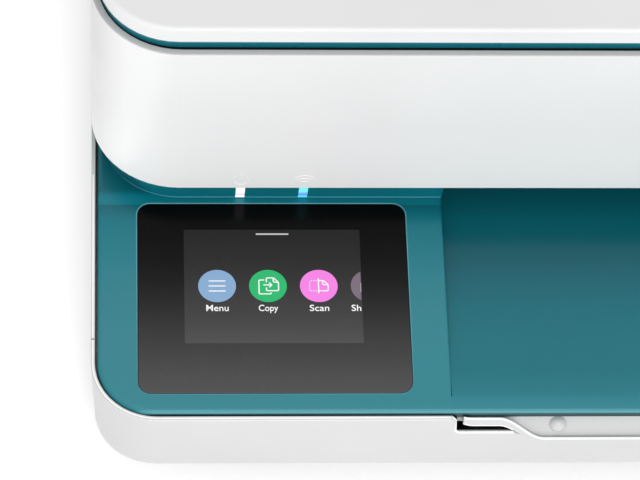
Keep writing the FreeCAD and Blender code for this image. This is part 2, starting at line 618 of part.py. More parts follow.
# ---------------------------------------------------------------- housing hinge
brackets = []
for side in (-1, 1):
    x0, x1 = sorted((side * 200.0, side * 210.0))
    post = fuse([box(x0, x1, 180.3, 187.9, 14.4, HINGE_Z), rod_x(4.2, x0, x1, HINGE_Y, HINGE_Z)])
    post = post.cut(rod_x(2.06, x0 - 1, x1 + 1, HINGE_Y, HINGE_Z))
    brackets.append(fuse([post, box(x0, x1, 170, 181, 14.4, 17)]))
brackets[1] = brackets[1].cut(box(199, 215, 160, 175, 14, 18))
save(Part.makeCompound(brackets), "hinge_brackets")
save(Part.makeCompound([rod_x(2.0, -215, -195, HINGE_Y, HINGE_Z), rod_x(2.0, 195, 215, HINGE_Y, HINGE_Z)]),
     "hinge_pins")

# ---------------------------------------------------------------- scanner housing
house = inset_slab(0, HOUSE_Z0, HOUSE_Z1, HOUSE_FRONT_Y, HOUSE_R, CORNER_R)
house = round_edges(house, 0.3, lambda e: e.BoundBox.ZMax < HOUSE_Z0 + 0.01)
house = round_edges(house, 0.45, lambda e: e.BoundBox.ZMin > HOUSE_Z1 - 0.01)
house = house.cut(inset_slab(HOUSE_WALL, HOUSE_Z0 - 1, HOUSE_Z1 + 1, HOUSE_FRONT_Y, HOUSE_R, CORNER_R))
house = house.cut(box(-240, 240, 172, 200, 50, 66))
save(house, "housing_shell")


def lip_solid(grow):
    """Wedge under the housing's edge: flush at the top, drawn in to the deck below."""
    top_in, low_in = 0.35 - grow, 3.55 - grow
    rings = []
    for inset, z in ((low_in, 43.0), (top_in, HOUSE_Z0)):
        rings.append(outline(-HALF_W + inset, HALF_W - inset, HOUSE_FRONT_Y + inset, BACK_Y - inset,
                             HOUSE_R - inset, CORNER_R - inset, z))
    return Part.makeLoft(rings, True)


clear_deck = yz_prism([(-200, deck_z(-200) + 0.35), (150, deck_z(150) + 0.35), (150, 20), (-200, 20)], -240, 240)
lip_hollow = inset_slab(5.2, 40, 80, HOUSE_FRONT_Y, HOUSE_R, CORNER_R)
lip = lip_solid(0.0).cut(lip_hollow).cut(clear_deck)
flange = inset_slab(HOUSE_WALL, 52.0, 60.0, HOUSE_FRONT_Y, HOUSE_R, CORNER_R).cut(lip_hollow)
lip = fuse([lip, flange.cut(box(-240, 240, -200, 200, 40, HOUSE_Z0))])
lip = lip.cut(box(-RECESS_X, RECESS_X, -130, -60, 30, 90)).cut(box(-240, 240, 60, 200, 30, 90))
BAR_W = 2.85
BAR_X = (-183.5, -163.8)
for x in BAR_X:
    lip = lip.cut(box(x - BAR_W / 2, x + BAR_W / 2, -120, -100, 40, HOUSE_Z0))
save(lip, "under_lip")

bars = []
for x in BAR_X:
    bar = lip_solid(0.15).cut(lip_hollow).cut(clear_deck)
    bars.append(bar.common(box(x - BAR_W / 2 + 0.03, x + BAR_W / 2 - 0.03, -120, -100, 40, HOUSE_Z0)))
save(bars[0], "light_bar_power")
save(bars[1], "light_bar_wireless")

scan_pan = slab(-227.7, 227.7, -112.5, 189.2, PAN_Z, 96, 25.5, 17.8)
ring = box(-165, 165, -104, 134, 96, GLASS_Z).cut(box(-163, 163, -102, 132, 95, 120))
ring = ring.cut(rod_x(3.0, -166, 166, 15, 103))
lugs = []
for side in (-1, 1):
    for xa, xb in ((195.0, 199.5), (210.5, 215.0)):
        x0, x1 = sorted((side * xa, side * xb))
        lug = fuse([box(x0, x1, 180.3, 188.7, HINGE_Z, 94.5), rod_x(4.2, x0, x1, HINGE_Y, HINGE_Z)])
        lugs.append(lug.cut(rod_x(2.0, x0 - 1, x1 + 1, HINGE_Y, HINGE_Z)))
rack = [box(-155, 155, 100, 104, 96, 97)]
for i in range(-75, 76):
    rack.append(box(i * 2 - 0.5, i * 2 + 0.5, 100, 104, 96.5, 98))
scan_pan = fuse([scan_pan, ring] + lugs + rack)
save(scan_pan, "scan_pan")

save(rod_x(3.0, -165, 165, 15, 103), "scan_rod")
head = box(-157, -139, -99, 129, 104.5, 114.2)
foot = box(-157, -139, 2, 28, 98.5, 105).cut(rod_x(3.06, -160, -130, 15, 103))
head = head.cut(rod_x(3.06, -160, -130, 15, 103))
head = head.cut(box(-149.5, -146.5, -96, 126, 113.4, 116))
head_ends = [box(-155, -141, -98, -92, 96.4, 105), box(-155, -141, 118, 124, 96.4, 105)]
drive = fuse([box(-156, -140, 106, 116, 99.0, 105), rod_y(5, 90, 98.5, -148, 102)])
save(fuse([head, foot, drive] + head_ends), "scan_bar")

save(slab(-164, 164, -103, 133, GLASS_Z, 117.0, 1.5, 1.5), "scan_glass")

bezel = inset_slab(HOUSE_WALL, 117.0, BEZEL_Z, HOUSE_FRONT_Y, HOUSE_R, CORNER_R)
bezel = bezel.cut(slab(-150, 150, -93, 123, 110, 125, 2, 2))
save(bezel, "scan_bezel")

# Fixed strip behind the lid, with the two knuckles that the lid hangs on.
strip = slab(-HALF_W + 2.3, HALF_W - 2.3, 100, BACK_Y - 3.1, BEZEL_Z, 129.4, 10, CORNER_R - 3.1)
strip = strip.cut(box(-240, 240, -200, 179.25, 100, 140))
strip = round_edges(strip, 1.0, lambda e: e.BoundBox.ZMin > 129.39)
knuckles = []
for side in (-1, 1):
    x0, x1 = sorted((side * 138.0, side * 150.0))
    knuckle = fuse([rod_x(4.2, x0, x1, LID_AXIS_Y, LID_AXIS_Z),
                    box(x0, x1, LID_AXIS_Y, 180, BEZEL_Z, LID_AXIS_Z + 4.2)])
    knuckles.append(knuckle)
rail = fuse([strip] + knuckles).cut(rod_x(1.56, -160, 160, LID_AXIS_Y, LID_AXIS_Z))
save(rail, "rear_rail")

# ---------------------------------------------------------------- scanner lid
lid_x = HALF_W - LID_SIDE
lid_front = HOUSE_FRONT_Y + LID_FRONT
envelope = fuse([box(-240, 240, -130, LID_AXIS_Y, LID_Z0, LID_Z1),
                 rod_x(LID_BARREL, -240, 240, LID_AXIS_Y, LID_AXIS_Z)])
knuckle_gaps = [box(-150.6, -137.4, 168.6, 185, 110, 140), box(137.4, 150.6, 168.6, 185, 110, 140)]
pin_bore = rod_x(1.5, -162, -126, LID_AXIS_Y, LID_AXIS_Z).fuse(rod_x(1.5, 126, 162, LID_AXIS_Y, LID_AXIS_Z))
cover = slab(-lid_x, lid_x, lid_front, 180, LID_BAND_Z, LID_Z1, LID_R, 0.3)
cover = round_edges(cover, 1.2, lambda e: e.BoundBox.ZMin > LID_Z1 - 0.01 and e.BoundBox.YMax < 179.9)
cover = cover.cut(slab(-lid_x + 2.4, lid_x - 2.4, lid_front + 2.4, 165, LID_BAND_Z - 1, LID_Z1 - 2.2, LID_R - 2.4, 1))
cover = cover.common(envelope)
rear_relief = inset_slab(2.6, 110, 140, HOUSE_FRONT_Y, HOUSE_R, CORNER_R)
cover = cover.common(fuse([box(-240, 240, -130, 167.5, 110, 140), rear_relief]))
band = slab(-lid_x + 0.4, lid_x - 0.4, lid_front + 0.4, 180, LID_Z0, LID_BAND_Z, LID_R - 0.4, 0.3)
band = round_edges(band, 0.5, lambda e: e.BoundBox.ZMax < LID_Z0 + 0.01 and e.BoundBox.YMax < 179.9)
band = band.common(envelope)
band = band.common(inset_slab(2.5, 110, 130, HOUSE_FRONT_Y, HOUSE_R, CORNER_R))
band = band.cut(slab(-149, 149, -92, 122, LID_Z0 - 1, LID_Z0 + 1.5, 2, 2))
for gap in knuckle_gaps + [pin_bore]:
    cover = cover.cut(gap)
    band = band.cut(gap)
save(cover, "lid_shell")
save(band, "lid_trim")
save(slab(-148.6, 148.6, -91.6, 121.6, 117.3, LID_Z0 + 1.5, 2, 2), "lid_foam")
save(Part.makeCompound([rod_x(1.5, -162, -126, LID_AXIS_Y, LID_AXIS_Z),
                        rod_x(1.5, 126, 162, LID_AXIS_Y, LID_AXIS_Z)]), "lid_pins")
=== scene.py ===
import json
import math

import bmesh
import bpy
from mathutils import Matrix, Vector


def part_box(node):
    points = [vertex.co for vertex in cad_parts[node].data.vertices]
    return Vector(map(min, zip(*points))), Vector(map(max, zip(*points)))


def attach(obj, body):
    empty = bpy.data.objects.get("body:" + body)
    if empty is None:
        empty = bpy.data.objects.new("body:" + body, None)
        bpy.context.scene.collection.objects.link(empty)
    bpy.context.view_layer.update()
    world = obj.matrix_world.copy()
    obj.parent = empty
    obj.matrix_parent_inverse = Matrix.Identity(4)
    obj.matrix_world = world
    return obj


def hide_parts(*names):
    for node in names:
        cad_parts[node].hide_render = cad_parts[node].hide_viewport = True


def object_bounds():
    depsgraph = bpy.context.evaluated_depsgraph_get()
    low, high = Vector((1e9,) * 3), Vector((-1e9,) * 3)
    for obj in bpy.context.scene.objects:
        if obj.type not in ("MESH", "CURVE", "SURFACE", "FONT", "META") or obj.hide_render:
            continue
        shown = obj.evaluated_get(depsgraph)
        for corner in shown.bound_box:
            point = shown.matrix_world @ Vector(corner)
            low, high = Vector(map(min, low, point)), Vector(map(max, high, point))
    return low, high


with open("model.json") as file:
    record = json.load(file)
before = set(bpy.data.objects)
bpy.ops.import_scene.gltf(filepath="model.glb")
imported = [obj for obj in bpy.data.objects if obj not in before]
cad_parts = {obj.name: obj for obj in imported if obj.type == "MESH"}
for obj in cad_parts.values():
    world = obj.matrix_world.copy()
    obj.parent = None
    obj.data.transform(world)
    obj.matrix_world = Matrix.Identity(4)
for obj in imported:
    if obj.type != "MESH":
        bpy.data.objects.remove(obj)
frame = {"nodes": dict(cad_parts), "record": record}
CAD_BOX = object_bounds()
MM = 0.001
TILT = math.radians(2.7)
scene = bpy.context.scene


# ------------------------------------------------------------------ material helpers
def srgb(*shades):
    """Linear colour of three display shades from 0 to 255."""
    linear = []
    for shade in shades:
        c = shade / 255
        linear.append(c / 12.92 if c <= 0.04045 else ((c + 0.055) / 1.055) ** 2.4)
    return tuple(linear)


def links(mat):
    return mat.node_tree.nodes, mat.node_tree.links


def new_material(name, color, roughness, **sockets):
    mat = bpy.data.materials.new(name)
    mat.use_nodes = True
    shader = mat.node_tree.nodes["Principled BSDF"]
    shader.inputs["Base Color"].default_value = (*color, 1)
    shader.inputs["Roughness"].default_value = roughness
    for key, value in sockets.items():
        shader.inputs[key.replace("_", " ")].default_value = value
    return mat


def noise(nodes, link, coords, scale, detail=4.0, stretch=None):
    tex = nodes.new("ShaderNodeTexNoise")
    tex.inputs["Scale"].default_value = scale
    tex.inputs["Detail"].default_value = detail
    if stretch:
        mapping = nodes.new("ShaderNodeMapping")
        mapping.inputs["Scale"].default_value = stretch
        link.new(coords, mapping.inputs["Vector"])
        coords = mapping.outputs["Vector"]
    link.new(coords, tex.inputs["Vector"])
    return tex.outputs["Fac"]


def ramp(nodes, link, value, stops):
    """Colour ramp through (position, colour) stops."""
    node = nodes.new("ShaderNodeValToRGB")
    elements = node.color_ramp.elements
    while len(elements) < len(stops):
        elements.new(0.5)
    for element, (place, color) in zip(elements, stops):
        element.position = place
        element.color = (*color, 1)
    link.new(value, node.inputs["Fac"])
    return node.outputs["Color"]


def along_axis(nodes, link, coords, axis, stops):
    """Colour that changes along one axis of the object, through (metres, colour) stops."""
    split = nodes.new("ShaderNodeSeparateXYZ")
    link.new(coords, split.inputs["Vector"])
    first, last = stops[0][0], stops[-1][0]
    span = nodes.new("ShaderNodeMapRange")
    span.inputs["From Min"].default_value = first
    span.inputs["From Max"].default_value = last
    link.new(split.outputs[axis], span.inputs["Value"])
    shares = [((place - first) / (last - first), color) for place, color in stops]
    return ramp(nodes, link, span.outputs["Result"], shares)


def multiplied(nodes, link, color, shade):
    """Colour darkened or lifted by a second colour."""
    mix = nodes.new("ShaderNodeMix")
    mix.data_type = "RGBA"
    mix.blend_type = "MULTIPLY"
    mix.inputs["Factor"].default_value = 1.0
    link.new(color, mix.inputs["A"])
    link.new(shade, mix.inputs["B"])
    return mix.outputs["Result"]


def distance(nodes, link, coords):
    """Distance from the origin along each axis."""
    size = nodes.new("ShaderNodeVectorMath")
    size.operation = "ABSOLUTE"
    link.new(coords, size.inputs[0])
    return size.outputs["Vector"]


# How far past and short of the edge the inner colour blends into the outer one, in metres.
BLEND_OUT, BLEND_IN = 0.0004, 0.0002


def between(nodes, link, coords, outside, half_width, axis, stops):
    """Second graded colour, used only within half_width of the middle plane of the object."""
    split = nodes.new("ShaderNodeSeparateXYZ")
    link.new(distance(nodes, link, coords), split.inputs["Vector"])
    share = nodes.new("ShaderNodeMapRange")
    share.inputs["From Min"].default_value = half_width + BLEND_OUT
    share.inputs["From Max"].default_value = half_width - BLEND_IN
    link.new(split.outputs["X"], share.inputs["Value"])
    mix = nodes.new("ShaderNodeMix")
    mix.data_type = "RGBA"
    link.new(share.outputs["Result"], mix.inputs["Factor"])
    link.new(outside, mix.inputs["A"])
    link.new(along_axis(nodes, link, coords, axis, stops), mix.inputs["B"])
    return mix.outputs["Result"]


MOTTLE_SCALE, SMEAR_SCALE = 18.0, 55.0
GLOSS_DRIFT = 0.06
GRAIN_DEPTH = 0.0002


def moulded(name, color, roughness, grain=2600.0, bump=0.04, mottle=0.02, stretch=None, graded=None,
            inner=None, painted_side_shade=None, **sockets):
    """Moulded plastic, rubber or metal: fine grain in the bump, slow drift in colour and gloss.

    graded is (axis, stops); every grade in this script is painted light and shade. inner is (half width,
    axis, stops) of painted shade for the middle of the object. The last argument is stops for a factor that
    follows the distance from the middle along X, painted shade towards the sides.
    """
    mat = new_material(name, color, roughness, **sockets)
    nodes, link = links(mat)
    shader = nodes["Principled BSDF"]
    coords = nodes.new("ShaderNodeTexCoord").outputs["Object"]
    slow = noise(nodes, link, coords, MOTTLE_SCALE, 3.0)
    if graded:
        base = along_axis(nodes, link, coords, *graded)
        if inner:
            base = between(nodes, link, coords, base, *inner)
        if painted_side_shade:
            side_shade_factor = along_axis(nodes, link, distance(nodes, link, coords), "X", painted_side_shade)
            base = multiplied(nodes, link, base, side_shade_factor)
        shade = ramp(nodes, link, slow, [(0.3, (1 - mottle,) * 3), (0.7, (1, 1, 1))])
        link.new(multiplied(nodes, link, base, shade), shader.inputs["Base Color"])
    else:
        low = tuple(c * (1 - mottle) for c in color)
        high = tuple(min(1.0, c * (1 + mottle)) for c in color)
        link.new(ramp(nodes, link, slow, [(0.3, low), (0.7, high)]), shader.inputs["Base Color"])
    smear = noise(nodes, link, coords, SMEAR_SCALE, 5.0)
    dull, glossy = min(1.0, roughness + GLOSS_DRIFT), max(0.02, roughness - GLOSS_DRIFT)
    gloss = ramp(nodes, link, smear, [(0.3, (glossy,) * 3), (0.7, (dull,) * 3)])
    link.new(gloss, shader.inputs["Roughness"])
    fine = noise(nodes, link, coords, grain, 2.0, stretch)
    knock = nodes.new("ShaderNodeBump")
    knock.inputs["Strength"].default_value = bump
    knock.inputs["Distance"].default_value = GRAIN_DEPTH
    link.new(fine, knock.inputs["Height"])
    link.new(knock.outputs["Normal"], shader.inputs["Normal"])
    return mat


def ink(name, *shades, mottle=0.01):
    """Flat colour of the picture on the display."""
    return moulded(name, srgb(*shades), 0.5, bump=0.0, mottle=mottle, Specular_IOR_Level=0.1)


def lit(name, strength, axis, stops):
    """Light pipe: its glow changes along one axis."""
    mat = new_material(name, (0.02, 0.02, 0.02), 0.3)
    nodes, link = links(mat)
    shader = nodes["Principled BSDF"]
    coords = nodes.new("ShaderNodeTexCoord").outputs["Object"]
    glow = along_axis(nodes, link, coords, axis, stops)
    link.new(glow, shader.inputs["Emission Color"])
    shader.inputs["Emission Strength"].default_value = strength
    return mat


# ------------------------------------------------------------------ places, from the frame
DECK_LOW, DECK_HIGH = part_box("deck_frame")
GLASS_LOW, GLASS_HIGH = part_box("touch_glass")
HOUSE_LOW, HOUSE_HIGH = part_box("housing_shell")
BAR_LOW, BAR_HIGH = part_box("light_bar_power")
WIFI_LOW, WIFI_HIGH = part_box("light_bar_wireless")
BASE_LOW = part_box("base_shell")[0]
SCOOP_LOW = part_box("output_extension")[0]
HALF_X = CAD_BOX[1][0] / MM
HOUSE_FRONT = HOUSE_LOW[1] / MM


def deck_height(y):
    """Height of the sloping deck at y, in metres."""
    return DECK_HIGH[2] - (DECK_HIGH[1] - y) * math.tan(TILT)


def on_glass(x, v, lift):
    """Matrix of a spot on the touch glass: x and v in mm from its centre, lift above it."""
    y = (GLASS_LOW[1] + GLASS_HIGH[1]) / 2 + v * MM * math.cos(TILT)
    top = GLASS_HIGH[2] - (GLASS_HIGH[1] - y) * math.tan(TILT)
    origin = Vector(((GLASS_LOW[0] + GLASS_HIGH[0]) / 2 + x * MM, y, top + lift * MM))
    turned = Matrix.Rotation(TILT, 4, "X")
    return Matrix.Translation(origin) @ turned


def on_front(x, z):
    """Matrix of a spot on the housing's front face, with its own Y upward."""
    return Matrix.Translation(Vector((x, HOUSE_LOW[1], z))) @ Matrix.Rotation(math.radians(90), 4, "X")


# ------------------------------------------------------------------ materials
def tones(stops, start=0.0):
    """Graded colour from (metres, red, green, blue) stops, counted from start."""
    return [(start + place, srgb(*shades)) for place, *shades in stops]


def greys(stops):
    """Graded grey from (metres, display shade) stops."""
    return [(place, srgb(shade, shade, shade)) for place, shade in stops]


def levels(stops):
    """Graded grey from (metres, linear level) stops."""
    return [(place, (level,) * 3) for place, level in stops]


# Painted light and shade: these stops grade base colours to stand for shade, highlights and reflections.
# Stops run along Y from the front, or along Z from below, in metres of the frame; the side shade runs along X
# from the middle.
# Painted shadow line in the gap under the deck's front edge, then a painted highlight on its rounded edge.
EDGE_PAINTED_SHADOW_AND_HIGHLIGHT = tones([(0.0, 4, 44, 50), (0.0003, 66, 142, 152), (0.0008, 82, 154, 165), (0.0015, 44, 127, 137)],
                  DECK_LOW[1])
# Deck teal darker towards the housing as painted shade, with a lighter band as painted light on the wedge
# under the housing.
DECK_PAINTED_LIGHT_AND_SHADE = tones([
    (-0.1850, 40, 124, 134), (-0.1600, 40, 123, 134), (-0.1515, 39, 121, 132), (-0.1400, 29, 119, 131),
    (-0.1342, 20, 116, 128), (-0.1284, 12, 115, 127), (-0.1213, 1, 112, 126), (-0.1177, 1, 105, 118),
    (-0.1148, 1, 94, 107), (-0.1142, 4, 118, 133), (-0.1112, 4, 118, 133), (-0.1090, 2, 92, 104),
    (-0.0620, 2, 88, 100)])
# Recess teal darker towards the back: painted shade in the recess.
RECESS_PAINTED_SHADE = tones([
    (-0.1850, 36, 122, 133), (-0.1820, 26, 115, 127), (-0.1745, 11, 108, 119), (-0.1637, 10, 107, 118),
    (-0.1565, 5, 105, 117), (-0.1493, 1, 102, 114), (-0.1371, 1, 93, 106), (-0.1328, 1, 89, 101),
    (-0.1241, 6, 91, 102), (-0.1148, 11, 101, 113), (-0.0620, 11, 101, 113)])
# Black glass lighter towards the front: painted reflection.
GLASS_PAINTED_REFLECTION = greys([(-0.1900, 84), (-0.1781, 75), (-0.1695, 65), (-0.1608, 54), (-0.1522, 40),
                     (-0.1436, 26), (-0.1349, 15), (-0.1263, 7), (-0.1177, 5)])
# Display grey lighter towards the front: painted reflection over the display's own lit grey.
SCREEN_PAINTED_REFLECTION = greys([(-0.1660, 79), (-0.1594, 70), (-0.1551, 64), (-0.1508, 60), (-0.1464, 55),
                      (-0.1421, 50), (-0.1356, 44), (-0.1267, 38)])
# Pocket edge teal brightest along the rear edge: painted highlight.
POCKET_PAINTED_HIGHLIGHT = tones([(-0.1850, 56, 128, 138), (-0.1780, 70, 144, 154), (-0.1150, 96, 163, 176)])
HOUSE_TOP = HOUSE_HIGH[2]
# Housing white lighter low on the front to even out the light, with a painted highlight on the top fillet and
# painted shade on the ledge under the lid.
HOUSE_PAINTED_LIGHT_AND_SHADE = levels([(0.0496, 0.885), (0.0610, 0.86), (0.0724, 0.815), (0.0838, 0.777), (0.0952, 0.76),
                      (HOUSE_TOP - 0.0010, 0.745), (HOUSE_TOP - 0.0004, 0.78), (HOUSE_TOP - 0.0001, 0.47),
                      (HOUSE_TOP, 0.47)])
# Housing white darker towards the left and right edges as painted shade, slightly lifted just before them as
# a painted highlight.
SIDE_PAINTED_SHADE = levels([(0.1900, 1.0), (0.2195, 1.02), (0.2230, 0.97), (0.2257, 0.9), (0.2275, 0.85),
                    (0.2300, 0.8)])
TRIM_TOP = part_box("lid_trim")[1][2]
# Trim teal with a painted highlight along its top edge.
TRIM_PAINTED_HIGHLIGHT = tones([(-0.0040, 20, 104, 118), (-0.0010, 22, 106, 120), (-0.0003, 110, 172, 186),
                    (0.0, 110, 172, 186)], TRIM_TOP)
RECESS_HALF = 0.12
BAR_SPAN = BAR_HIGH[2] - BAR_LOW[2]


def bar_stops(colors):
    """Colours spread over the height of the light bars, from the bottom edge."""
    return [(BAR_LOW[2] + share * BAR_SPAN, srgb(*color)) for share, color in colors]


SLOTS = {
    "shell_white": moulded("shell_white", (0.56, 0.56, 0.56), 0.38, bump=0.05),
    # Housing white carries painted light and shade along its height and towards its sides.
    "housing_white": moulded("housing_white", (0.75, 0.75, 0.75), 0.34, bump=0.03, graded=("Z", HOUSE_PAINTED_LIGHT_AND_SHADE),
                             painted_side_shade=SIDE_PAINTED_SHADE),
    "lid_white": moulded("lid_white", (0.725, 0.725, 0.73), 0.5, bump=0.08),
    "pan_charcoal": moulded("pan_charcoal", (0.02, 0.022, 0.024), 0.6, bump=0.25),
    "foot_rubber": moulded("foot_rubber", (0.02, 0.02, 0.022), 0.85, bump=0.3),
    # Deck teal carries painted shade, painted highlights and painted light from its stops.
    "deck_teal": moulded("deck_teal", (0.018, 0.145, 0.17), 0.34, bump=0.04, mottle=0.03,
                         graded=("Y", EDGE_PAINTED_SHADOW_AND_HIGHLIGHT + DECK_PAINTED_LIGHT_AND_SHADE),
                         inner=(RECESS_HALF, "Y", EDGE_PAINTED_SHADOW_AND_HIGHLIGHT + RECESS_PAINTED_SHADE), Specular_IOR_Level=0.12,
                         Coat_Weight=0.45, Coat_Roughness=0.28),
    # Trim teal carries a painted highlight along its top edge.
    "trim_teal": moulded("trim_teal", srgb(20, 104, 118), 0.3, bump=0.04, mottle=0.03,
                         graded=("Z", TRIM_PAINTED_HIGHLIGHT), Specular_IOR_Level=0.3, Coat_Weight=0.4,
                         Coat_Roughness=0.12),
    # Black glass carries a painted reflection graded into its colour.
    "panel_glass": moulded("panel_glass", (0.004, 0.004, 0.0045), 0.24, bump=0.0, mottle=0.0,
                           graded=("Y", GLASS_PAINTED_REFLECTION), Specular_IOR_Level=0.08),
    "display_screen": moulded("display_screen", (0.02, 0.02, 0.022), 0.3),
    "board_green": moulded("board_green", (0.01, 0.09, 0.035), 0.45),
    "socket_black": moulded("socket_black", (0.015, 0.015, 0.016), 0.5),
    "socket_steel": moulded("socket_steel", (0.5, 0.5, 0.52), 0.3, Metallic=1.0),
    "frame_steel": moulded("frame_steel", (0.5, 0.51, 0.52), 0.38, grain=700.0, bump=0.15, mottle=0.08,
                           Metallic=1.0),
    "screw_steel": moulded("screw_steel", (0.55, 0.55, 0.56), 0.3, Metallic=1.0),
    "rod_steel": moulded("rod_steel", (0.65, 0.65, 0.67), 0.16, grain=900.0, stretch=(0.05, 1, 1),
                         Metallic=1.0),
    "platen_black": moulded("platen_black", (0.015, 0.015, 0.017), 0.5, bump=0.2),
    "guide_grey": moulded("guide_grey", (0.05, 0.053, 0.057), 0.5, bump=0.2),
    "tray_grey": moulded("tray_grey", (0.035, 0.037, 0.04), 0.55, bump=0.25),
    "extension_white": moulded("extension_white", (0.55, 0.555, 0.555), 0.36, bump=0.04),
    "roller_rubber": moulded("roller_rubber", (0.03, 0.03, 0.032), 0.8, bump=0.4, grain=1500.0),
    "gear_white": moulded("gear_white", (0.62, 0.6, 0.54), 0.42, bump=0.05),
    "motor_steel": moulded("motor_steel", (0.4, 0.41, 0.43), 0.35, Metallic=1.0),
    "carriage_black": moulded("carriage_black", (0.018, 0.018, 0.02), 0.45, bump=0.2),
    "cartridge_shell": moulded("cartridge_shell", (0.025, 0.025, 0.028), 0.4, bump=0.1),
    "latch_blue": moulded("latch_blue", (0.02, 0.1, 0.3), 0.4),
    "belt_rubber": moulded("belt_rubber", (0.012, 0.012, 0.012), 0.75, bump=0.3),
    "tub_grey": moulded("tub_grey", (0.07, 0.073, 0.078), 0.5, bump=0.15),
    "cap_rubber": moulded("cap_rubber", (0.02, 0.02, 0.022), 0.8, bump=0.3),
    "light_white": lit("light_white", 1.15, "Z", bar_stops([
        (0.0, (255, 255, 255)), (0.14, (255, 255, 255)), (0.26, (214, 198, 214)), (0.4, (236, 226, 230)),
        (0.6, (246, 248, 240)), (1.0, (255, 255, 255))])),
    "light_cyan": lit("light_cyan", 1.1, "Z", bar_stops([
        (0.0, (80, 226, 250)), (0.14, (84, 215, 252)), (0.28, (104, 128, 212)), (0.42, (120, 176, 245)),
        (0.6, (120, 232, 244)), (1.0, (112, 248, 236))])),
    "scan_glass": new_material("scan_glass", (0.85, 0.95, 0.93), 0.03, Transmission_Weight=0.9, IOR=1.5),
    "bezel_grey": moulded("bezel_grey", (0.028, 0.029, 0.03), 0.5, bump=0.15),
    "scanpan_grey": moulded("scanpan_grey", (0.03, 0.031, 0.033), 0.55, bump=0.2),
    "scanbar_black": moulded("scanbar_black", (0.012, 0.012, 0.012), 0.45, bump=0.15),
    "foam_white": moulded("foam_white", (0.8, 0.8, 0.77), 0.9, bump=0.5, grain=1800.0, mottle=0.04),
    "button_grey": moulded("button_grey", (0.12, 0.125, 0.13), 0.45),
}
EXTRAS = {
    # Display grey carries a painted reflection graded into its colour.
    "screen_grey_painted_reflection": moulded("screen_grey_painted_reflection", (0.03, 0.03, 0.03), 0.24, bump=0.0, mottle=0.0,
                           graded=("Y", SCREEN_PAINTED_REFLECTION), Specular_IOR_Level=0.08),
    "icon_blue": ink("icon_blue", 134, 167, 203),
    "icon_green": ink("icon_green", 48, 180, 110),
    "icon_pink": ink("icon_pink", 238, 130, 222),
    "icon_mauve": ink("icon_mauve", 122, 108, 122, mottle=0.03),
    "icon_white": ink("icon_white", 246, 246, 246),
    "handle_grey": ink("handle_grey", 208, 206, 206),
    # The next four are lighter copies of the white and teal plastics for rims, edges and symbols: painted
    # highlights.
    "rim_white_painted_highlight": moulded("rim_white_painted_highlight", (0.93, 0.93, 0.93), 0.25, bump=0.02),
    "edge_teal_painted_highlight": moulded("edge_teal_painted_highlight", srgb(96, 163, 176), 0.25, bump=0.02, graded=("Y", POCKET_PAINTED_HIGHLIGHT),
                         Specular_IOR_Level=0.3),
    "lip_edge_teal": moulded("lip_edge_teal", srgb(62, 146, 158), 0.25, bump=0.02, Specular_IOR_Level=0.3),
    "mark_white_painted_highlight": moulded("mark_white_painted_highlight", (0.95, 0.95, 0.95), 0.3, bump=0.02),
    "chip_black": moulded("chip_black", (0.01, 0.01, 0.011), 0.35, bump=0.1),
    "pin_gold": moulded("pin_gold", (0.75, 0.55, 0.2), 0.25, Metallic=1.0),
    "label_white": moulded("label_white", (0.75, 0.75, 0.74), 0.5, bump=0.05),
    "dot_cyan": moulded("dot_cyan", (0.01, 0.4, 0.7), 0.45, bump=0.02),
    "dot_magenta": moulded("dot_magenta", (0.6, 0.02, 0.25), 0.45, bump=0.02),
    "dot_yellow": moulded("dot_yellow", (0.85, 0.65, 0.02), 0.45, bump=0.02),
    "strip_clear": new_material("strip_clear", (0.75, 0.78, 0.8), 0.2, Transmission_Weight=0.6),
    "plate_silver": moulded("plate_silver", (0.45, 0.46, 0.47), 0.4, bump=0.05, Metallic=0.6),
}

for sub in frame["record"]["subparts"]:
    node = frame["nodes"][sub["node"]]
    node.data.materials.clear()
    node.data.materials.append(SLOTS[sub["material_slot"]])


# ------------------------------------------------------------------ mesh helpers
def finished(name, mesh, matrix, material, body):
    """Put a mesh in place as a piece that rides on a body."""
    mesh.transform(matrix)
    mesh.name = name
    mesh.materials.clear()
    mesh.materials.append(EXTRAS.get(material) or SLOTS[material])
    obj = bpy.data.objects.new(name, mesh)
    scene.collection.objects.link(obj)
    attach(obj, body)
    return obj


def baked(data):
    """Mesh of a curve or a text."""
    holder = bpy.data.objects.new("holder", data)
    scene.collection.objects.link(holder)
    depsgraph = bpy.context.evaluated_depsgraph_get()
    mesh = bpy.data.meshes.new_from_object(holder.evaluated_get(depsgraph))
    bpy.data.objects.remove(holder)
    return mesh


def mesh_of(bm, name, outward=True):
    """Mesh of what was built in bm, with its faces turned outward unless told otherwise."""
    if outward:
        bmesh.ops.recalc_face_normals(bm, faces=bm.faces)
    mesh = bpy.data.meshes.new(name)
    bm.to_mesh(mesh)
    bm.free()
    return mesh


def skinned(bm, rings):
    """Close both end rings with a face, and join each ring to the next."""
    bm.faces.new(rings[-1])
    bm.faces.new(list(reversed(rings[0])))
    for a, b in zip(rings, rings[1:]):
        count = len(a)
        for i in range(count):
            j = (i + 1) % count
            bm.faces.new((a[i], a[j], b[j], b[i]))


def tube_mesh(paths, radius, closed=False, sides=3):
    """Round tubes along lists of points in mm."""
    curve = bpy.data.curves.new("tube", "CURVE")
    curve.dimensions = "3D"
    curve.bevel_depth = radius * MM
    curve.bevel_resolution = sides
    curve.use_fill_caps = True
    for points in paths:
        spline = curve.splines.new("POLY")
        spline.points.add(len(points) - 1)
        for knot, point in zip(spline.points, points):
            spot = Vector(point).to_3d() * MM
            knot.co = (*spot, 1)
        spline.use_cyclic_u = closed
    mesh = baked(curve)
    for face in mesh.polygons:
        face.use_smooth = True
    return mesh


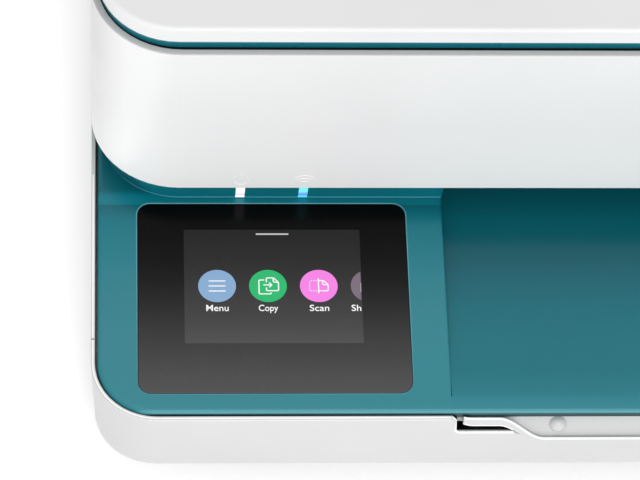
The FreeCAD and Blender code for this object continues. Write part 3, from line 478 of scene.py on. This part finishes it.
def flat_strokes(paths, width, closed=False):
    """Strokes of a flat drawing, with round ends, a tenth as thick as they are wide."""
    mesh = tube_mesh(paths, width / 2, closed, 2)
    mesh.transform(Matrix.Diagonal((1, 1, 0.1, 1)))
    return mesh


def prism_mesh(outlines, z0, z1):
    """Closed prisms over flat outlines, in mm."""
    bm = bmesh.new()
    for outline in outlines:
        skinned(bm, [[bm.verts.new(Vector((x, y, z)) * MM) for x, y in outline] for z in (z0, z1)])
    return mesh_of(bm, "prism")


def arc(cx, cy, radius, start, end, count=16):
    """Points of an arc, its angles in degrees."""
    turn = [math.radians(start + (end - start) * i / count) for i in range(count + 1)]
    return [(cx + radius * math.cos(a), cy + radius * math.sin(a)) for a in turn]


def disc(cx, cy, radius, count=48):
    """Points of a circle."""
    return arc(cx, cy, radius, 0, 360, count)[:-1]


def rounded_box(x0, x1, y0, y1, radius, count=6):
    """Outline of a rectangle with rounded corners."""
    return (arc(x0 + radius, y0 + radius, radius, 180, 270, count)
            + arc(x1 - radius, y0 + radius, radius, 270, 360, count)
            + arc(x1 - radius, y1 - radius, radius, 0, 90, count)
            + arc(x0 + radius, y1 - radius, radius, 90, 180, count))


def softened(points, radius=0.45):
    """Open line with its corners rounded."""
    line = [points[0]]
    for before, corner, after in zip(points, points[1:], points[2:]):
        spot, back, ahead = Vector(corner), Vector(before), Vector(after)
        start = spot + (back - spot).normalized() * radius
        end = spot + (ahead - spot).normalized() * radius
        for step in range(5):
            t = step / 4
            line.append(tuple(start * (1 - t) ** 2 + spot * 2 * t * (1 - t) + end * t ** 2))
    return line + [points[-1]]


EXTRUDE = 0.01
WORD_LIFT = 0.05


def words_mesh(text, width, cap):
    """Flat lettering of a given width and capital height, in mm, centred on its baseline."""
    data = bpy.data.curves.new("words", "FONT")
    data.body = text
    data.size = 1.0
    data.offset = 0.006
    data.extrude = EXTRUDE
    mesh = baked(data)
    xs = [v.co.x for v in mesh.vertices]
    tall = max(v.co.y for v in mesh.vertices)
    middle = (min(xs) + max(xs)) / 2
    mesh.transform(Matrix.Translation(Vector((-middle, 0, 0))))
    stretch = (width * MM / (max(xs) - min(xs)), cap * MM / tall, WORD_LIFT * MM / EXTRUDE, 1)
    mesh.transform(Matrix.Diagonal(stretch))
    return mesh


def clipped(mesh, x):
    """Keep what lies left of x mm, and close the cut."""
    bm = bmesh.new()
    bm.from_mesh(mesh)
    geometry = bm.verts[:] + bm.edges[:] + bm.faces[:]
    cut = bmesh.ops.bisect_plane(bm, geom=geometry, plane_co=(x * MM, 0, 0), plane_no=(1, 0, 0),
                                 clear_outer=True, dist=1e-7)
    edges = [e for e in cut["geom_cut"] if isinstance(e, bmesh.types.BMEdge)]
    bmesh.ops.edgenet_fill(bm, edges=edges)
    bm.to_mesh(mesh)
    bm.free()
    return mesh


# ------------------------------------------------------------------ picture on the touch display
# All in mm. The picture's layers lie one above the other, each a few hundredths above the glass.
SCREEN_W, SCREEN_H = 54.9, 41.2
SCREEN_X, SCREEN_V = -0.1, 3.9
ICON_R = 5.85
ICON_STEP = 15.75
FIRST_ICON = -17.3
STROKE = 0.44
DRAWING_SHARE = 0.96
LABEL_DROP = 9.05
CAP = 2.2
CUT_MARGIN = 0.2
HANDLE_W, HANDLE_H = 5.1, 0.26
HANDLE_X, HANDLE_DROP = 0.15, 1.62
AREA_TOP, DISC_THICK, HANDLE_THICK = 0.06, 0.03, 0.04
DRAWING_LIFT, LABEL_LIFT = 0.11, 0.09


def on_screen(name, mesh, x, v, lift, material):
    """Place a mesh at x, v mm from the middle of the display, lift mm above the glass."""
    finished(name, mesh, on_glass(SCREEN_X + x, SCREEN_V + v, lift), material, "base")


half_w, half_h = SCREEN_W / 2, SCREEN_H / 2
lit_area = prism_mesh([rounded_box(-half_w, half_w, -half_h, half_h, 0.3)], 0.0, AREA_TOP)
on_screen("screen_lit_area", lit_area, 0, 0, 0.0, "screen_grey_painted_reflection")
handle = prism_mesh([rounded_box(-HANDLE_W, HANDLE_W, -HANDLE_H, HANDLE_H, 0.15)], 0.0, HANDLE_THICK)
on_screen("screen_drag_handle", handle, HANDLE_X, half_h - HANDLE_DROP, AREA_TOP, "handle_grey")

menu_lines = [[(-2.7, v), (2.7, v)] for v in (-1.9, 0.0, 1.9)]
copy_back = softened([(-1.15, 2.25), (-2.9, 2.25), (-2.9, -3.0), (1.0, -3.0), (1.0, -2.5)])
copy_front = softened([(-0.5, 1.4), (-0.5, 3.05), (1.9, 3.05), (3.4, 1.35), (3.4, -1.8), (-0.5, -1.8),
                       (-0.5, -0.6)])
copy_fold = softened([(1.75, 2.9), (1.75, 1.45), (3.2, 1.35)])
copy_arrow = [[(-1.5, 0.4), (1.25, 0.4)], [(0.4, 1.25), (1.3, 0.4), (0.4, -0.5)]]
scan_page = softened([(-0.1, 2.0), (1.6, 2.0), (3.0, 0.5), (3.0, -1.85), (-0.1, -1.85)])
scan_fold = softened([(1.25, 1.9), (1.25, 0.5), (2.8, 0.45)])
scan_bar = [(-0.1, 2.75), (-0.1, -2.75)]
scan_dashes = [[(-0.7 - 0.75 * i, v), (-1.0 - 0.75 * i, v)] for i in range(3) for v in (2.0, -1.85)]
scan_dashes += [[(-2.95, 1.55 - 0.62 * i), (-2.95, 1.35 - 0.62 * i)] for i in range(6)]
sheet_stub = softened([(0.2, 1.3), (-2.7, 1.3), (-2.7, -2.4), (0.2, -2.4)])
ICONS = [
    ("menu", "icon_blue", menu_lines, "Menu", 6.9),
    ("copy", "icon_green", [copy_back, copy_front, copy_fold] + copy_arrow, "Copy", 6.0),
    ("scan", "icon_pink", [scan_page, scan_fold, scan_bar] + scan_dashes, "Scan", 6.0),
    ("more", "icon_mauve", [sheet_stub], "Short", 7.6),
]
for order, (name, color, strokes, label, label_w) in enumerate(ICONS):
    x = FIRST_ICON + ICON_STEP * order
    plate = prism_mesh([disc(0, 0, ICON_R)], 0.0, DISC_THICK)
    drawing = flat_strokes(strokes, STROKE)
    drawing.transform(Matrix.Diagonal((DRAWING_SHARE, DRAWING_SHARE, 1, 1)))
    words = words_mesh(label, label_w, CAP)
    label_x = x
    if x + ICON_R > half_w:
        edge = half_w - x - CUT_MARGIN
        label_x = x - ICON_R + label_w / 2
        plate = clipped(plate, edge)
        drawing = clipped(drawing, edge)
        words = clipped(words, edge - (label_x - x))
    on_screen("icon_" + name, plate, x, 0, AREA_TOP, color)
    on_screen("icon_" + name + "_drawing", drawing, x, 0, DRAWING_LIFT, "icon_white")
    on_screen("icon_" + name + "_label", words, label_x, -LABEL_DROP, LABEL_LIFT, "icon_white")


# ------------------------------------------------------------------ symbols over the light bars
MARK_R = 0.2
MARK_FLAT = 0.55
MARK_RISE = 4.3


def front_mark(name, paths, x, z):
    """Flattened strokes on the housing's front face, in a lighter white than the housing: painted highlight
    on raised symbols.
    """
    mesh = tube_mesh(paths, MARK_R, sides=2)
    mesh.transform(Matrix.Diagonal((1, 1, MARK_FLAT, 1)))
    finished(name, mesh, on_front(x, z), "mark_white_painted_highlight", "scanner_housing")


bar_x = (BAR_LOW[0] + BAR_HIGH[0]) / 2
wifi_x = (WIFI_LOW[0] + WIFI_HIGH[0]) / 2
symbol_z = HOUSE_LOW[2] + MARK_RISE * MM
front_mark("power_symbol", [arc(0, 0, 2.35, 130, 410, 28), [(0, 3.6), (0, 0.6)]], bar_x, symbol_z)
waves = [arc(0, -2.2, r, 90 - spread, 90 + spread, 14) for r, spread in ((1.5, 48), (3.0, 44), (4.5, 42))]
front_mark("wireless_symbol", waves, wifi_x, symbol_z)


# ------------------------------------------------------------------ fine edges, painted lighter as highlights
# All in mm.
SHELL_R = 20.2
WALL = 1.2


def plan_corner(side, inset, front, radius, count=14):
    """Points round a front corner of the plan, from the side to the front, in mm."""
    cx, cy = side * (HALF_X - radius), front + radius
    line = []
    for step in range(count + 1):
        a = math.radians(90 * step / count)
        line.append((cx + side * (radius - inset) * math.cos(a), cy - (radius - inset) * math.sin(a)))
    return line


def rim_line(side, first_y, last_x, front):
    """Middle of the rim's top from first_y on the side to last_x at the front."""
    inset = WALL / 2
    corner = plan_corner(side, inset, front, SHELL_R)
    return [(side * (HALF_X - inset), first_y)] + corner + [(side * last_x, front + inset)]


def raised(line, sink):
    """Lift a plan line onto the deck's slope, sunk by so many mm."""
    return [(x, y, deck_height(y * MM) / MM - sink) for x, y in line]


# The beads are sunk so that only their tops stand out of the wall, whose rim lies RIM_DROP under the deck.
RIM_BEAD = 0.58
RIM_DROP = 0.55
RIM_SINK = RIM_BEAD - 0.14 + RIM_DROP
SEAM_Y = BASE_LOW[1] / MM
SHELL_FRONT = -191.5
SLOT_EDGE = 120.6
SIDES = ((-1, "left"), (1, "right"))
# The rim beads are in a lighter white than the shell: painted highlight along the rim.
for side, name in SIDES:
    tray_line = rim_line(side, SEAM_Y - 0.5, SLOT_EDGE, SHELL_FRONT)
    wall_x = side * (HALF_X - WALL / 2)
    base_line = [(wall_x, SEAM_Y + 0.3), (wall_x, HOUSE_FRONT + 12)]
    finished("tray_rim_" + name, tube_mesh([raised(tray_line, RIM_SINK)], RIM_BEAD), Matrix(),
             "rim_white_painted_highlight", "paper_tray")
    finished("base_rim_" + name, tube_mesh([raised(base_line, RIM_SINK)], RIM_BEAD), Matrix(),
             "rim_white_painted_highlight", "base")

# Bottom edge of the wedge under the housing, a bead in a lighter teal that is painted highlight.
HOUSE_R = 27.4
LIP_TOP_IN, LIP_LOW_IN = 0.35, 3.55
LIP_Z0, LIP_Z1 = 43.0, HOUSE_LOW[2] / MM
LIP_LIFT = 0.4
RECESS_X = 120.0
FINE_BEAD = 0.2


def lip_inset(z):
    """How far the wedge's face is drawn in at height z."""
    share = (z - LIP_Z0) / (LIP_Z1 - LIP_Z0)
    return LIP_LOW_IN + (LIP_TOP_IN - LIP_LOW_IN) * share


edge_z = deck_height((HOUSE_FRONT + 3) * MM) / MM + LIP_LIFT
edge_in = lip_inset(edge_z)
for side, name in SIDES:
    corner = plan_corner(side, edge_in, HOUSE_FRONT, HOUSE_R)
    side_x = side * (HALF_X - edge_in)
    line = [(side_x, HOUSE_FRONT + 48)] + corner + [(side * (RECESS_X + 0.2), HOUSE_FRONT + edge_in)]
    finished("lip_edge_" + name, tube_mesh([raised(line, -LIP_LIFT)], FINE_BEAD, sides=2), Matrix(),
             "lip_edge_teal", "scanner_housing")

# Bevelled edge of the pocket round the touch glass, in a lighter teal that is painted highlight, brightest
# along the rear.
POCKET_GAP = 0.3
POCKET_R = 4.3
POCKET_SINK = 0.24
glass_w = (GLASS_HIGH[0] - GLASS_LOW[0]) / MM / 2 + POCKET_GAP
glass_h = (GLASS_HIGH[1] - GLASS_LOW[1]) / MM / math.cos(TILT) / 2 + POCKET_GAP
outline = rounded_box(-glass_w, glass_w, -glass_h, glass_h, POCKET_R, 8)
pocket = tube_mesh([outline], FINE_BEAD, closed=True, sides=2)
finished("pocket_edge", pocket, on_glass(0, 0, -POCKET_SINK), "edge_teal_painted_highlight", "base")


# Edges of the scoop, in the lighter white that is painted highlight: an S-curve down into the dip and up
# again, curled up at both ends.
SCOOP_HALF = 116.6
SCOOP_STEPS = 212
SCOOP_FRONT = SCOOP_LOW[1] / MM
RIM_Z = 38.3
DIP_X, DIP_RUN, DIP_DEEP = 105.6, 14, 7.5
CURL_X, CURL_RUN, CURL_HIGH, CURL_POWER = 113.4, 3.4, 2.1, 2.2
UPPER_BEAD, LOWER_BEAD = 0.38, 0.3
LOWER_FROM = 100.5


def dip_share(x):
    """0 outside the scoop's dip, 1 at its bottom, smooth in between."""
    t = min(1.0, max(0.0, (DIP_X - abs(x)) / DIP_RUN))
    return t * t * (3 - 2 * t)


def scoop_rim(x, below):
    """Point on the scoop's front rim; below is 0 for its upper edge and 1 for its lower edge."""
    dip = dip_share(x)
    curl = CURL_HIGH * (max(0.0, abs(x) - CURL_X) / CURL_RUN) ** CURL_POWER
    front = SCOOP_FRONT + 2.4 * (1 - dip)
    face = 3.4 - 0.6 * dip - 0.3 * curl
    return (x, front - 0.5 * curl + 0.35 - 0.15 * below, RIM_Z - DIP_DEEP * dip + curl - face * below + 0.06)


rim_xs = [-SCOOP_HALF + 2 * SCOOP_HALF * i / SCOOP_STEPS for i in range(SCOOP_STEPS + 1)]
upper = tube_mesh([[scoop_rim(x, 0) for x in rim_xs]], UPPER_BEAD)
finished("scoop_rim_upper", upper, Matrix(), "rim_white_painted_highlight", "tray_extension")
lower_lines = [[scoop_rim(x, 1) for x in rim_xs if LOWER_FROM < side * x] for side in (-1, 1)]
lower = tube_mesh(lower_lines, LOWER_BEAD)
finished("scoop_rim_lower", lower, Matrix(), "rim_white_painted_highlight", "tray_extension")

# Lower edge of the slot in the tray's front, up round its corner to the rim, in the lighter white that is
# painted highlight.
SHOULDER_Z = 31.9
SLOT_BEAD = 0.45
SLOT_EDGE_POINTS = [(100.8, 0.7, SHOULDER_Z - 0.2), (117.8, 0.7, SHOULDER_Z - 0.2),
                    (118.9, 0.7, SHOULDER_Z + 0.8), (119.2, 0.7, 38.6), (120.4, 0.8, 39.9)]
for side, name in SIDES:
    line = [(side * x, SHELL_FRONT + back, z) for x, back, z in SLOT_EDGE_POINTS]
    finished("slot_edge_" + name, tube_mesh([line], SLOT_BEAD), Matrix(), "rim_white_painted_highlight", "paper_tray")


# ------------------------------------------------------------------ foam sheet under the lid
SIDE_STEPS = 24
SIDE_PULL = 0.35
WAVE = 0.05
FLAT_FROM = 60
CORNER_STEPS = 5


def foam_mesh():
    """Foam slab with soft shoulders, its face very slightly uneven and its sides drawn in."""
    low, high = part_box("lid_foam")
    low, high = Vector(low) / MM, Vector(high) / MM
    cx, cy = (low.x + high.x) / 2, (low.y + high.y) / 2
    hx, hy = (high.x - low.x) / 2, (high.y - low.y) / 2
    levels_down = [(0.2, high.z), (0.0, high.z - 1.2), (0.3, low.z + 1.3), (1.0, low.z + 0.35),
                   (2.4, low.z + 0.02)]
    levels_down += [(8 + 12 * i, low.z + 0.03) for i in range(6)]
    bm = bmesh.new()
    rings = []
    for inset, z in levels_down:
        radius = max(3.0 - inset, 0.6) + inset * 0.15
        outline = rounded_box(-hx + inset, hx - inset, -hy + inset, hy - inset, radius, CORNER_STEPS)
        ring = []
        for i, (x, y) in enumerate(outline):
            nx, ny = outline[(i + 1) % len(outline)]
            steps = SIDE_STEPS if i % (CORNER_STEPS + 1) == CORNER_STEPS else 1
            for k in range(steps):
                t = k / steps
                px, py = x + (nx - x) * t, y + (ny - y) * t
                pull = SIDE_PULL * math.sin(math.pi * t) if steps > 1 and inset < 3 else 0.0
                shrink = 1 - pull / max(hx, hy)
                wave = WAVE * math.sin(px * 0.09) * math.cos(py * 0.07) if 3 < inset < FLAT_FROM else 0.0
                ring.append(bm.verts.new(Vector((cx + px * shrink, cy + py * shrink, z + abs(wave))) * MM))
        rings.append(ring)
    skinned(bm, rings)
    mesh = mesh_of(bm, "foam")
    for face in mesh.polygons:
        face.use_smooth = len(face.vertices) == 4
    return mesh


foam = finished("lid_foam_pad", foam_mesh(), Matrix(), "foam_white", "lid")
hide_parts("lid_foam")


# ------------------------------------------------------------------ small pieces inside
def blocks_mesh(boxes, bevel=0.15):
    """Boxes in mm, with their edges taken off."""
    bm = bmesh.new()
    for x0, x1, y0, y1, z0, z1 in boxes:
        made = bmesh.ops.create_cube(bm, size=1.0)["verts"]
        middle = Vector(((x0 + x1) / 2, (y0 + y1) / 2, (z0 + z1) / 2)) * MM
        size = Vector((x1 - x0, y1 - y0, z1 - z0)) * MM
        for vert in made:
            vert.co = Vector(a * b for a, b in zip(vert.co, size)) + middle
    if bevel:
        bmesh.ops.bevel(bm, geom=bm.edges[:], offset=bevel * MM, segments=2, affect="EDGES", profile=0.5)
    return mesh_of(bm, "blocks", outward=False)


def blocks(name, boxes, material, body, bevel=0.15):
    """Boxes in mm as one piece."""
    finished(name, blocks_mesh(boxes, bevel), Matrix(), material, body)


def in_mm(node):
    """Lowest and highest corner of a node, in mm."""
    low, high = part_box(node)
    return Vector(low) / MM, Vector(high) / MM


# Teeth on the inside of the carriage belt, and the encoder strip beside it.
belt_low, belt_high = in_mm("carriage_belt")
teeth = []
TOOTH_STEP, TOOTH_W, TOOTH_DEEP = 2, 1.0, 0.5
PULLEY_REACH = 18
first_tooth, last_tooth = belt_low.x + PULLEY_REACH, belt_high.x - PULLEY_REACH
for i in range(int((last_tooth - first_tooth) / TOOTH_STEP)):
    x = first_tooth + TOOTH_STEP * i
    for z0 in (belt_high.z - 1.5, belt_low.z + 1.0):
        teeth.append((x, x + TOOTH_W, belt_low.y + 0.2, belt_high.y - 0.2, z0, z0 + TOOTH_DEEP))
blocks("belt_teeth", teeth, "belt_rubber", "base", bevel=0)
STRIP_X0, STRIP_X1, STRIP_Y = -176, 196, 26.0
STRIP_Z0, STRIP_Z1 = 81, 87
HOOK_W, HOOK_PAST = 3, 1.5
strip = [(STRIP_X0, STRIP_X1, STRIP_Y - 0.1, STRIP_Y + 0.1, STRIP_Z0, STRIP_Z1)]
blocks("encoder_strip", strip, "strip_clear", "base", bevel=0)
hooks = [(x, x + HOOK_W, STRIP_Y - HOOK_PAST, STRIP_Y + HOOK_PAST, STRIP_Z0 - HOOK_PAST, STRIP_Z1 + HOOK_PAST)
         for x in (STRIP_X0, STRIP_X1 - HOOK_W)]
blocks("encoder_hooks", hooks, "frame_steel", "base")

# Cartridge labels with plain colour dots.
LABEL_THICK, DOT_THICK = 0.12, 0.1
DOT_R, DOT_STEP, DOT_Y = 3.2, 9.5, -10
for node, colors in (("cartridge_colour", ("dot_cyan", "dot_magenta", "dot_yellow")),
                     ("cartridge_black", ("chip_black",))):
    low, high = in_mm(node)
    middle = (low.x + high.x) / 2
    label = prism_mesh([rounded_box(low.x + 4, high.x - 4, -26, 5, 2)], high.z, high.z + LABEL_THICK)
    finished(node + "_label", label, Matrix(), "label_white", "print_carriage")
    for i, color in enumerate(colors):
        x = middle + (i - (len(colors) - 1) / 2) * DOT_STEP
        dot_z = high.z + LABEL_THICK
        dot = prism_mesh([disc(x, DOT_Y, DOT_R, 32)], dot_z, dot_z + DOT_THICK)
        finished(node + "_dot_%d" % (i + 1), dot, Matrix(), color, "print_carriage")

# Chips, capacitors and connectors on the main board.
BOARD_TOP = 41.6
PIN_W = 0.8
blocks("board_chips", [(79.9, 100.1, 155.9, 176.1, 41.7, 44.1), (109.9, 124.1, 157.9, 172.1, 41.7, 43.7),
                       (128, 134, 170, 176, BOARD_TOP, 42.8)], "chip_black", "base")
pins = [(66, 68, y, y + PIN_W, 49.0, 49.6) for y in (153 + 2.5 * i for i in range(11))]
pins += [(x, x + PIN_W, 152, 155, BOARD_TOP, 44.5) for x in range(146, 162, 2)]
blocks("board_pins", pins, "pin_gold", "base", bevel=0)
cans = [disc(x, y, radius, 24) for x, y, radius in ((150, 172, 3.2), (158, 172, 3.2), (158, 163, 2.4))]
finished("board_capacitors", prism_mesh(cans, BOARD_TOP, 49.0), Matrix(), "motor_steel", "base")

# Light guide in the scan head, and the corner mark and scale beside the glass.
GUIDE_X, GUIDE_Z, GUIDE_R = -148, 113.75, 0.7
guide = tube_mesh([[(GUIDE_X, -95, GUIDE_Z), (GUIDE_X, 125, GUIDE_Z)]], GUIDE_R)
finished("scan_light_guide", guide, Matrix(), "label_white", "scan_head")
BEZEL_TOP = in_mm("scan_bezel")[1].z
MARK_TOP = BEZEL_TOP + 0.06
TICK_STEP, TICK_W = 7.5, 0.3


def tick_length(i):
    """Every fifth mark of the scale is a long one."""
    return 4.0 if i % 5 == 0 else 2.2


ticks = []
for i in range(29):
    y = 122 - i * TICK_STEP
    ticks.append((-151.5 - tick_length(i), -151.5, y, y + TICK_W, BEZEL_TOP, MARK_TOP))
for i in range(39):
    x = -149 + i * TICK_STEP
    ticks.append((x, x + TICK_W, 124.2, 124.2 + tick_length(i), BEZEL_TOP, MARK_TOP))
blocks("glass_scale", ticks, "label_white", "scanner_housing", bevel=0)
arrow = prism_mesh([[(-152.5, 125.5), (-160, 128.5), (-155.5, 133)]], BEZEL_TOP, MARK_TOP)
finished("glass_corner_mark", arrow, Matrix(), "label_white", "scanner_housing")

# Stiffening ribs under the scan unit.
RIB_TOP, RIB_DEEP, RIB_HALF = 94.0, 1.6, 0.7
RIB_Z = (RIB_TOP - RIB_DEEP, RIB_TOP)
ribs = [(x - RIB_HALF, x + RIB_HALF, -100, 165, *RIB_Z) for x in range(-190, 191, 38)]
ribs += [(-200, 200, y - RIB_HALF, y + RIB_HALF, *RIB_Z) for y in range(-95, 166, 52)]
blocks("scan_pan_ribs", ribs, "scanpan_grey", "scanner_housing", bevel=0)


# ------------------------------------------------------------------ screws and plates outside
SCREW_SIDES = 24
SOCKET_SHARE = 0.42


def screw_mesh(radius, height):
    """Domed head with a six-sided socket, its top along +Z."""
    bm = bmesh.new()
    profile = [(radius, 0.0), (radius, height * 0.35), (radius * 0.9, height * 0.75), (radius * 0.62, height)]
    rings = [[bm.verts.new(Vector((*p, z)) * MM) for p in disc(0, 0, r, SCREW_SIDES)] for r, z in profile]
    for z in (height, height * 0.3):
        socket = []
        for k in range(SCREW_SIDES):
            a = 2 * math.pi * k / SCREW_SIDES
            r = radius * SOCKET_SHARE / math.cos((a + math.pi / 6) % (math.pi / 3) - math.pi / 6)
            socket.append(bm.verts.new(Vector((r * math.cos(a), r * math.sin(a), z)) * MM))
        rings.append(socket)
    skinned(bm, rings)
    return mesh_of(bm, "screw")


def screws(name, spots, turn, radius, height, body):
    """Group of equal screws, one piece each."""
    for i, spot in enumerate(spots):
        matrix = Matrix.Translation(Vector(spot) * MM) @ turn
        finished(name + "_%d" % (i + 1), screw_mesh(radius, height), matrix, "screw_steel", body)


DOWN = Matrix.Rotation(math.pi, 4, "X")
BACKWARD = Matrix.Rotation(math.radians(-90), 4, "X")
INSET = 4.5
panel_low, panel_high = in_mm("rear_panel")
left, right_end, back = panel_low.x + INSET, panel_high.x - INSET, panel_high.y
rear_spots = [(left, back, panel_high.z - INSET), (right_end, back, panel_high.z - INSET),
              (right_end, back, panel_low.z + INSET)]
screws("rear_screw", rear_spots, BACKWARD, 2.0, 0.9, "base")
UNDER_Z = 10.0
PLATE_THICK = 0.25
under_spots = [(x, y, UNDER_Z) for x in (-120, 0, 120) for y in (-120, 130)]
screws("under_screw", under_spots, DOWN, 3.0, 1.2, "base")
plate = prism_mesh([rounded_box(-45, 45, -30, 20, 2.5)], UNDER_Z - PLATE_THICK, UNDER_Z)
finished("blank_rating_plate", plate, Matrix(), "plate_silver", "base")


# ------------------------------------------------------------------ camera
ELEVATION = math.radians(55)
TURN = math.radians(3.13)
CAMERA_SPOT = Vector((-0.2233, -0.8049, 1.0110))
forward = Vector((0, math.cos(ELEVATION), -math.sin(ELEVATION)))
up = Vector((0, math.sin(ELEVATION), math.cos(ELEVATION)))
right = Vector((1, 0, 0))
aim = forward * math.cos(TURN) + right * math.sin(TURN)
across = right * math.cos(TURN) - forward * math.sin(TURN)
camera_data = bpy.data.cameras.new("camera")
camera_data.sensor_width = 36
camera_data.lens = 213.2
camera_data.clip_end = 20
camera = bpy.data.objects.new("camera", camera_data)
turned = Matrix((across, up, -aim)).transposed()
camera.matrix_world = Matrix.Translation(CAMERA_SPOT) @ turned.to_4x4()
scene.collection.objects.link(camera)
scene.camera = camera

# ------------------------------------------------------------------ floor and light
FLOOR_HALF = 6
maker = bmesh.new()
maker.faces.new([maker.verts.new((FLOOR_HALF * a, FLOOR_HALF * b, 0))
                 for a, b in ((-1, -1), (1, -1), (1, 1), (-1, 1))])
floor = bpy.data.objects.new("floor", mesh_of(maker, "floor", outward=False))
scene.collection.objects.link(floor)
floor.data.materials.append(new_material("floor_pale", (0.95, 0.95, 0.95), 0.9, Emission_Color=(1, 1, 1, 1),
                                         Emission_Strength=0.26))

world = bpy.data.worlds.new("studio")
world.use_nodes = True
world.node_tree.nodes["Background"].inputs["Color"].default_value = (1, 1, 1, 1)
world.node_tree.nodes["Background"].inputs["Strength"].default_value = 0.75
scene.world = world


def soft_light(name, place, target, size, power):
    """Rectangular area light at place, aimed at target."""
    data = bpy.data.lights.new(name, "AREA")
    data.shape = "RECTANGLE"
    data.size, data.size_y = size
    data.energy = power
    lamp = bpy.data.objects.new(name, data)
    lamp.location = place
    lamp.rotation_euler = (Vector(target) - Vector(place)).to_track_quat("-Z", "Y").to_euler()
    scene.collection.objects.link(lamp)


soft_light("front_light", (0.2, -2.2, 1.3), (0, 0, 0.05), (1.6, 1.2), 26)
soft_light("top_light", (-0.4, 0.2, 2.4), (0, 0, 0), (1.2, 1.2), 8)
scene.view_settings.view_transform = "Standard"
scene.view_settings.look = "None"
scene.view_settings.exposure = 0.0
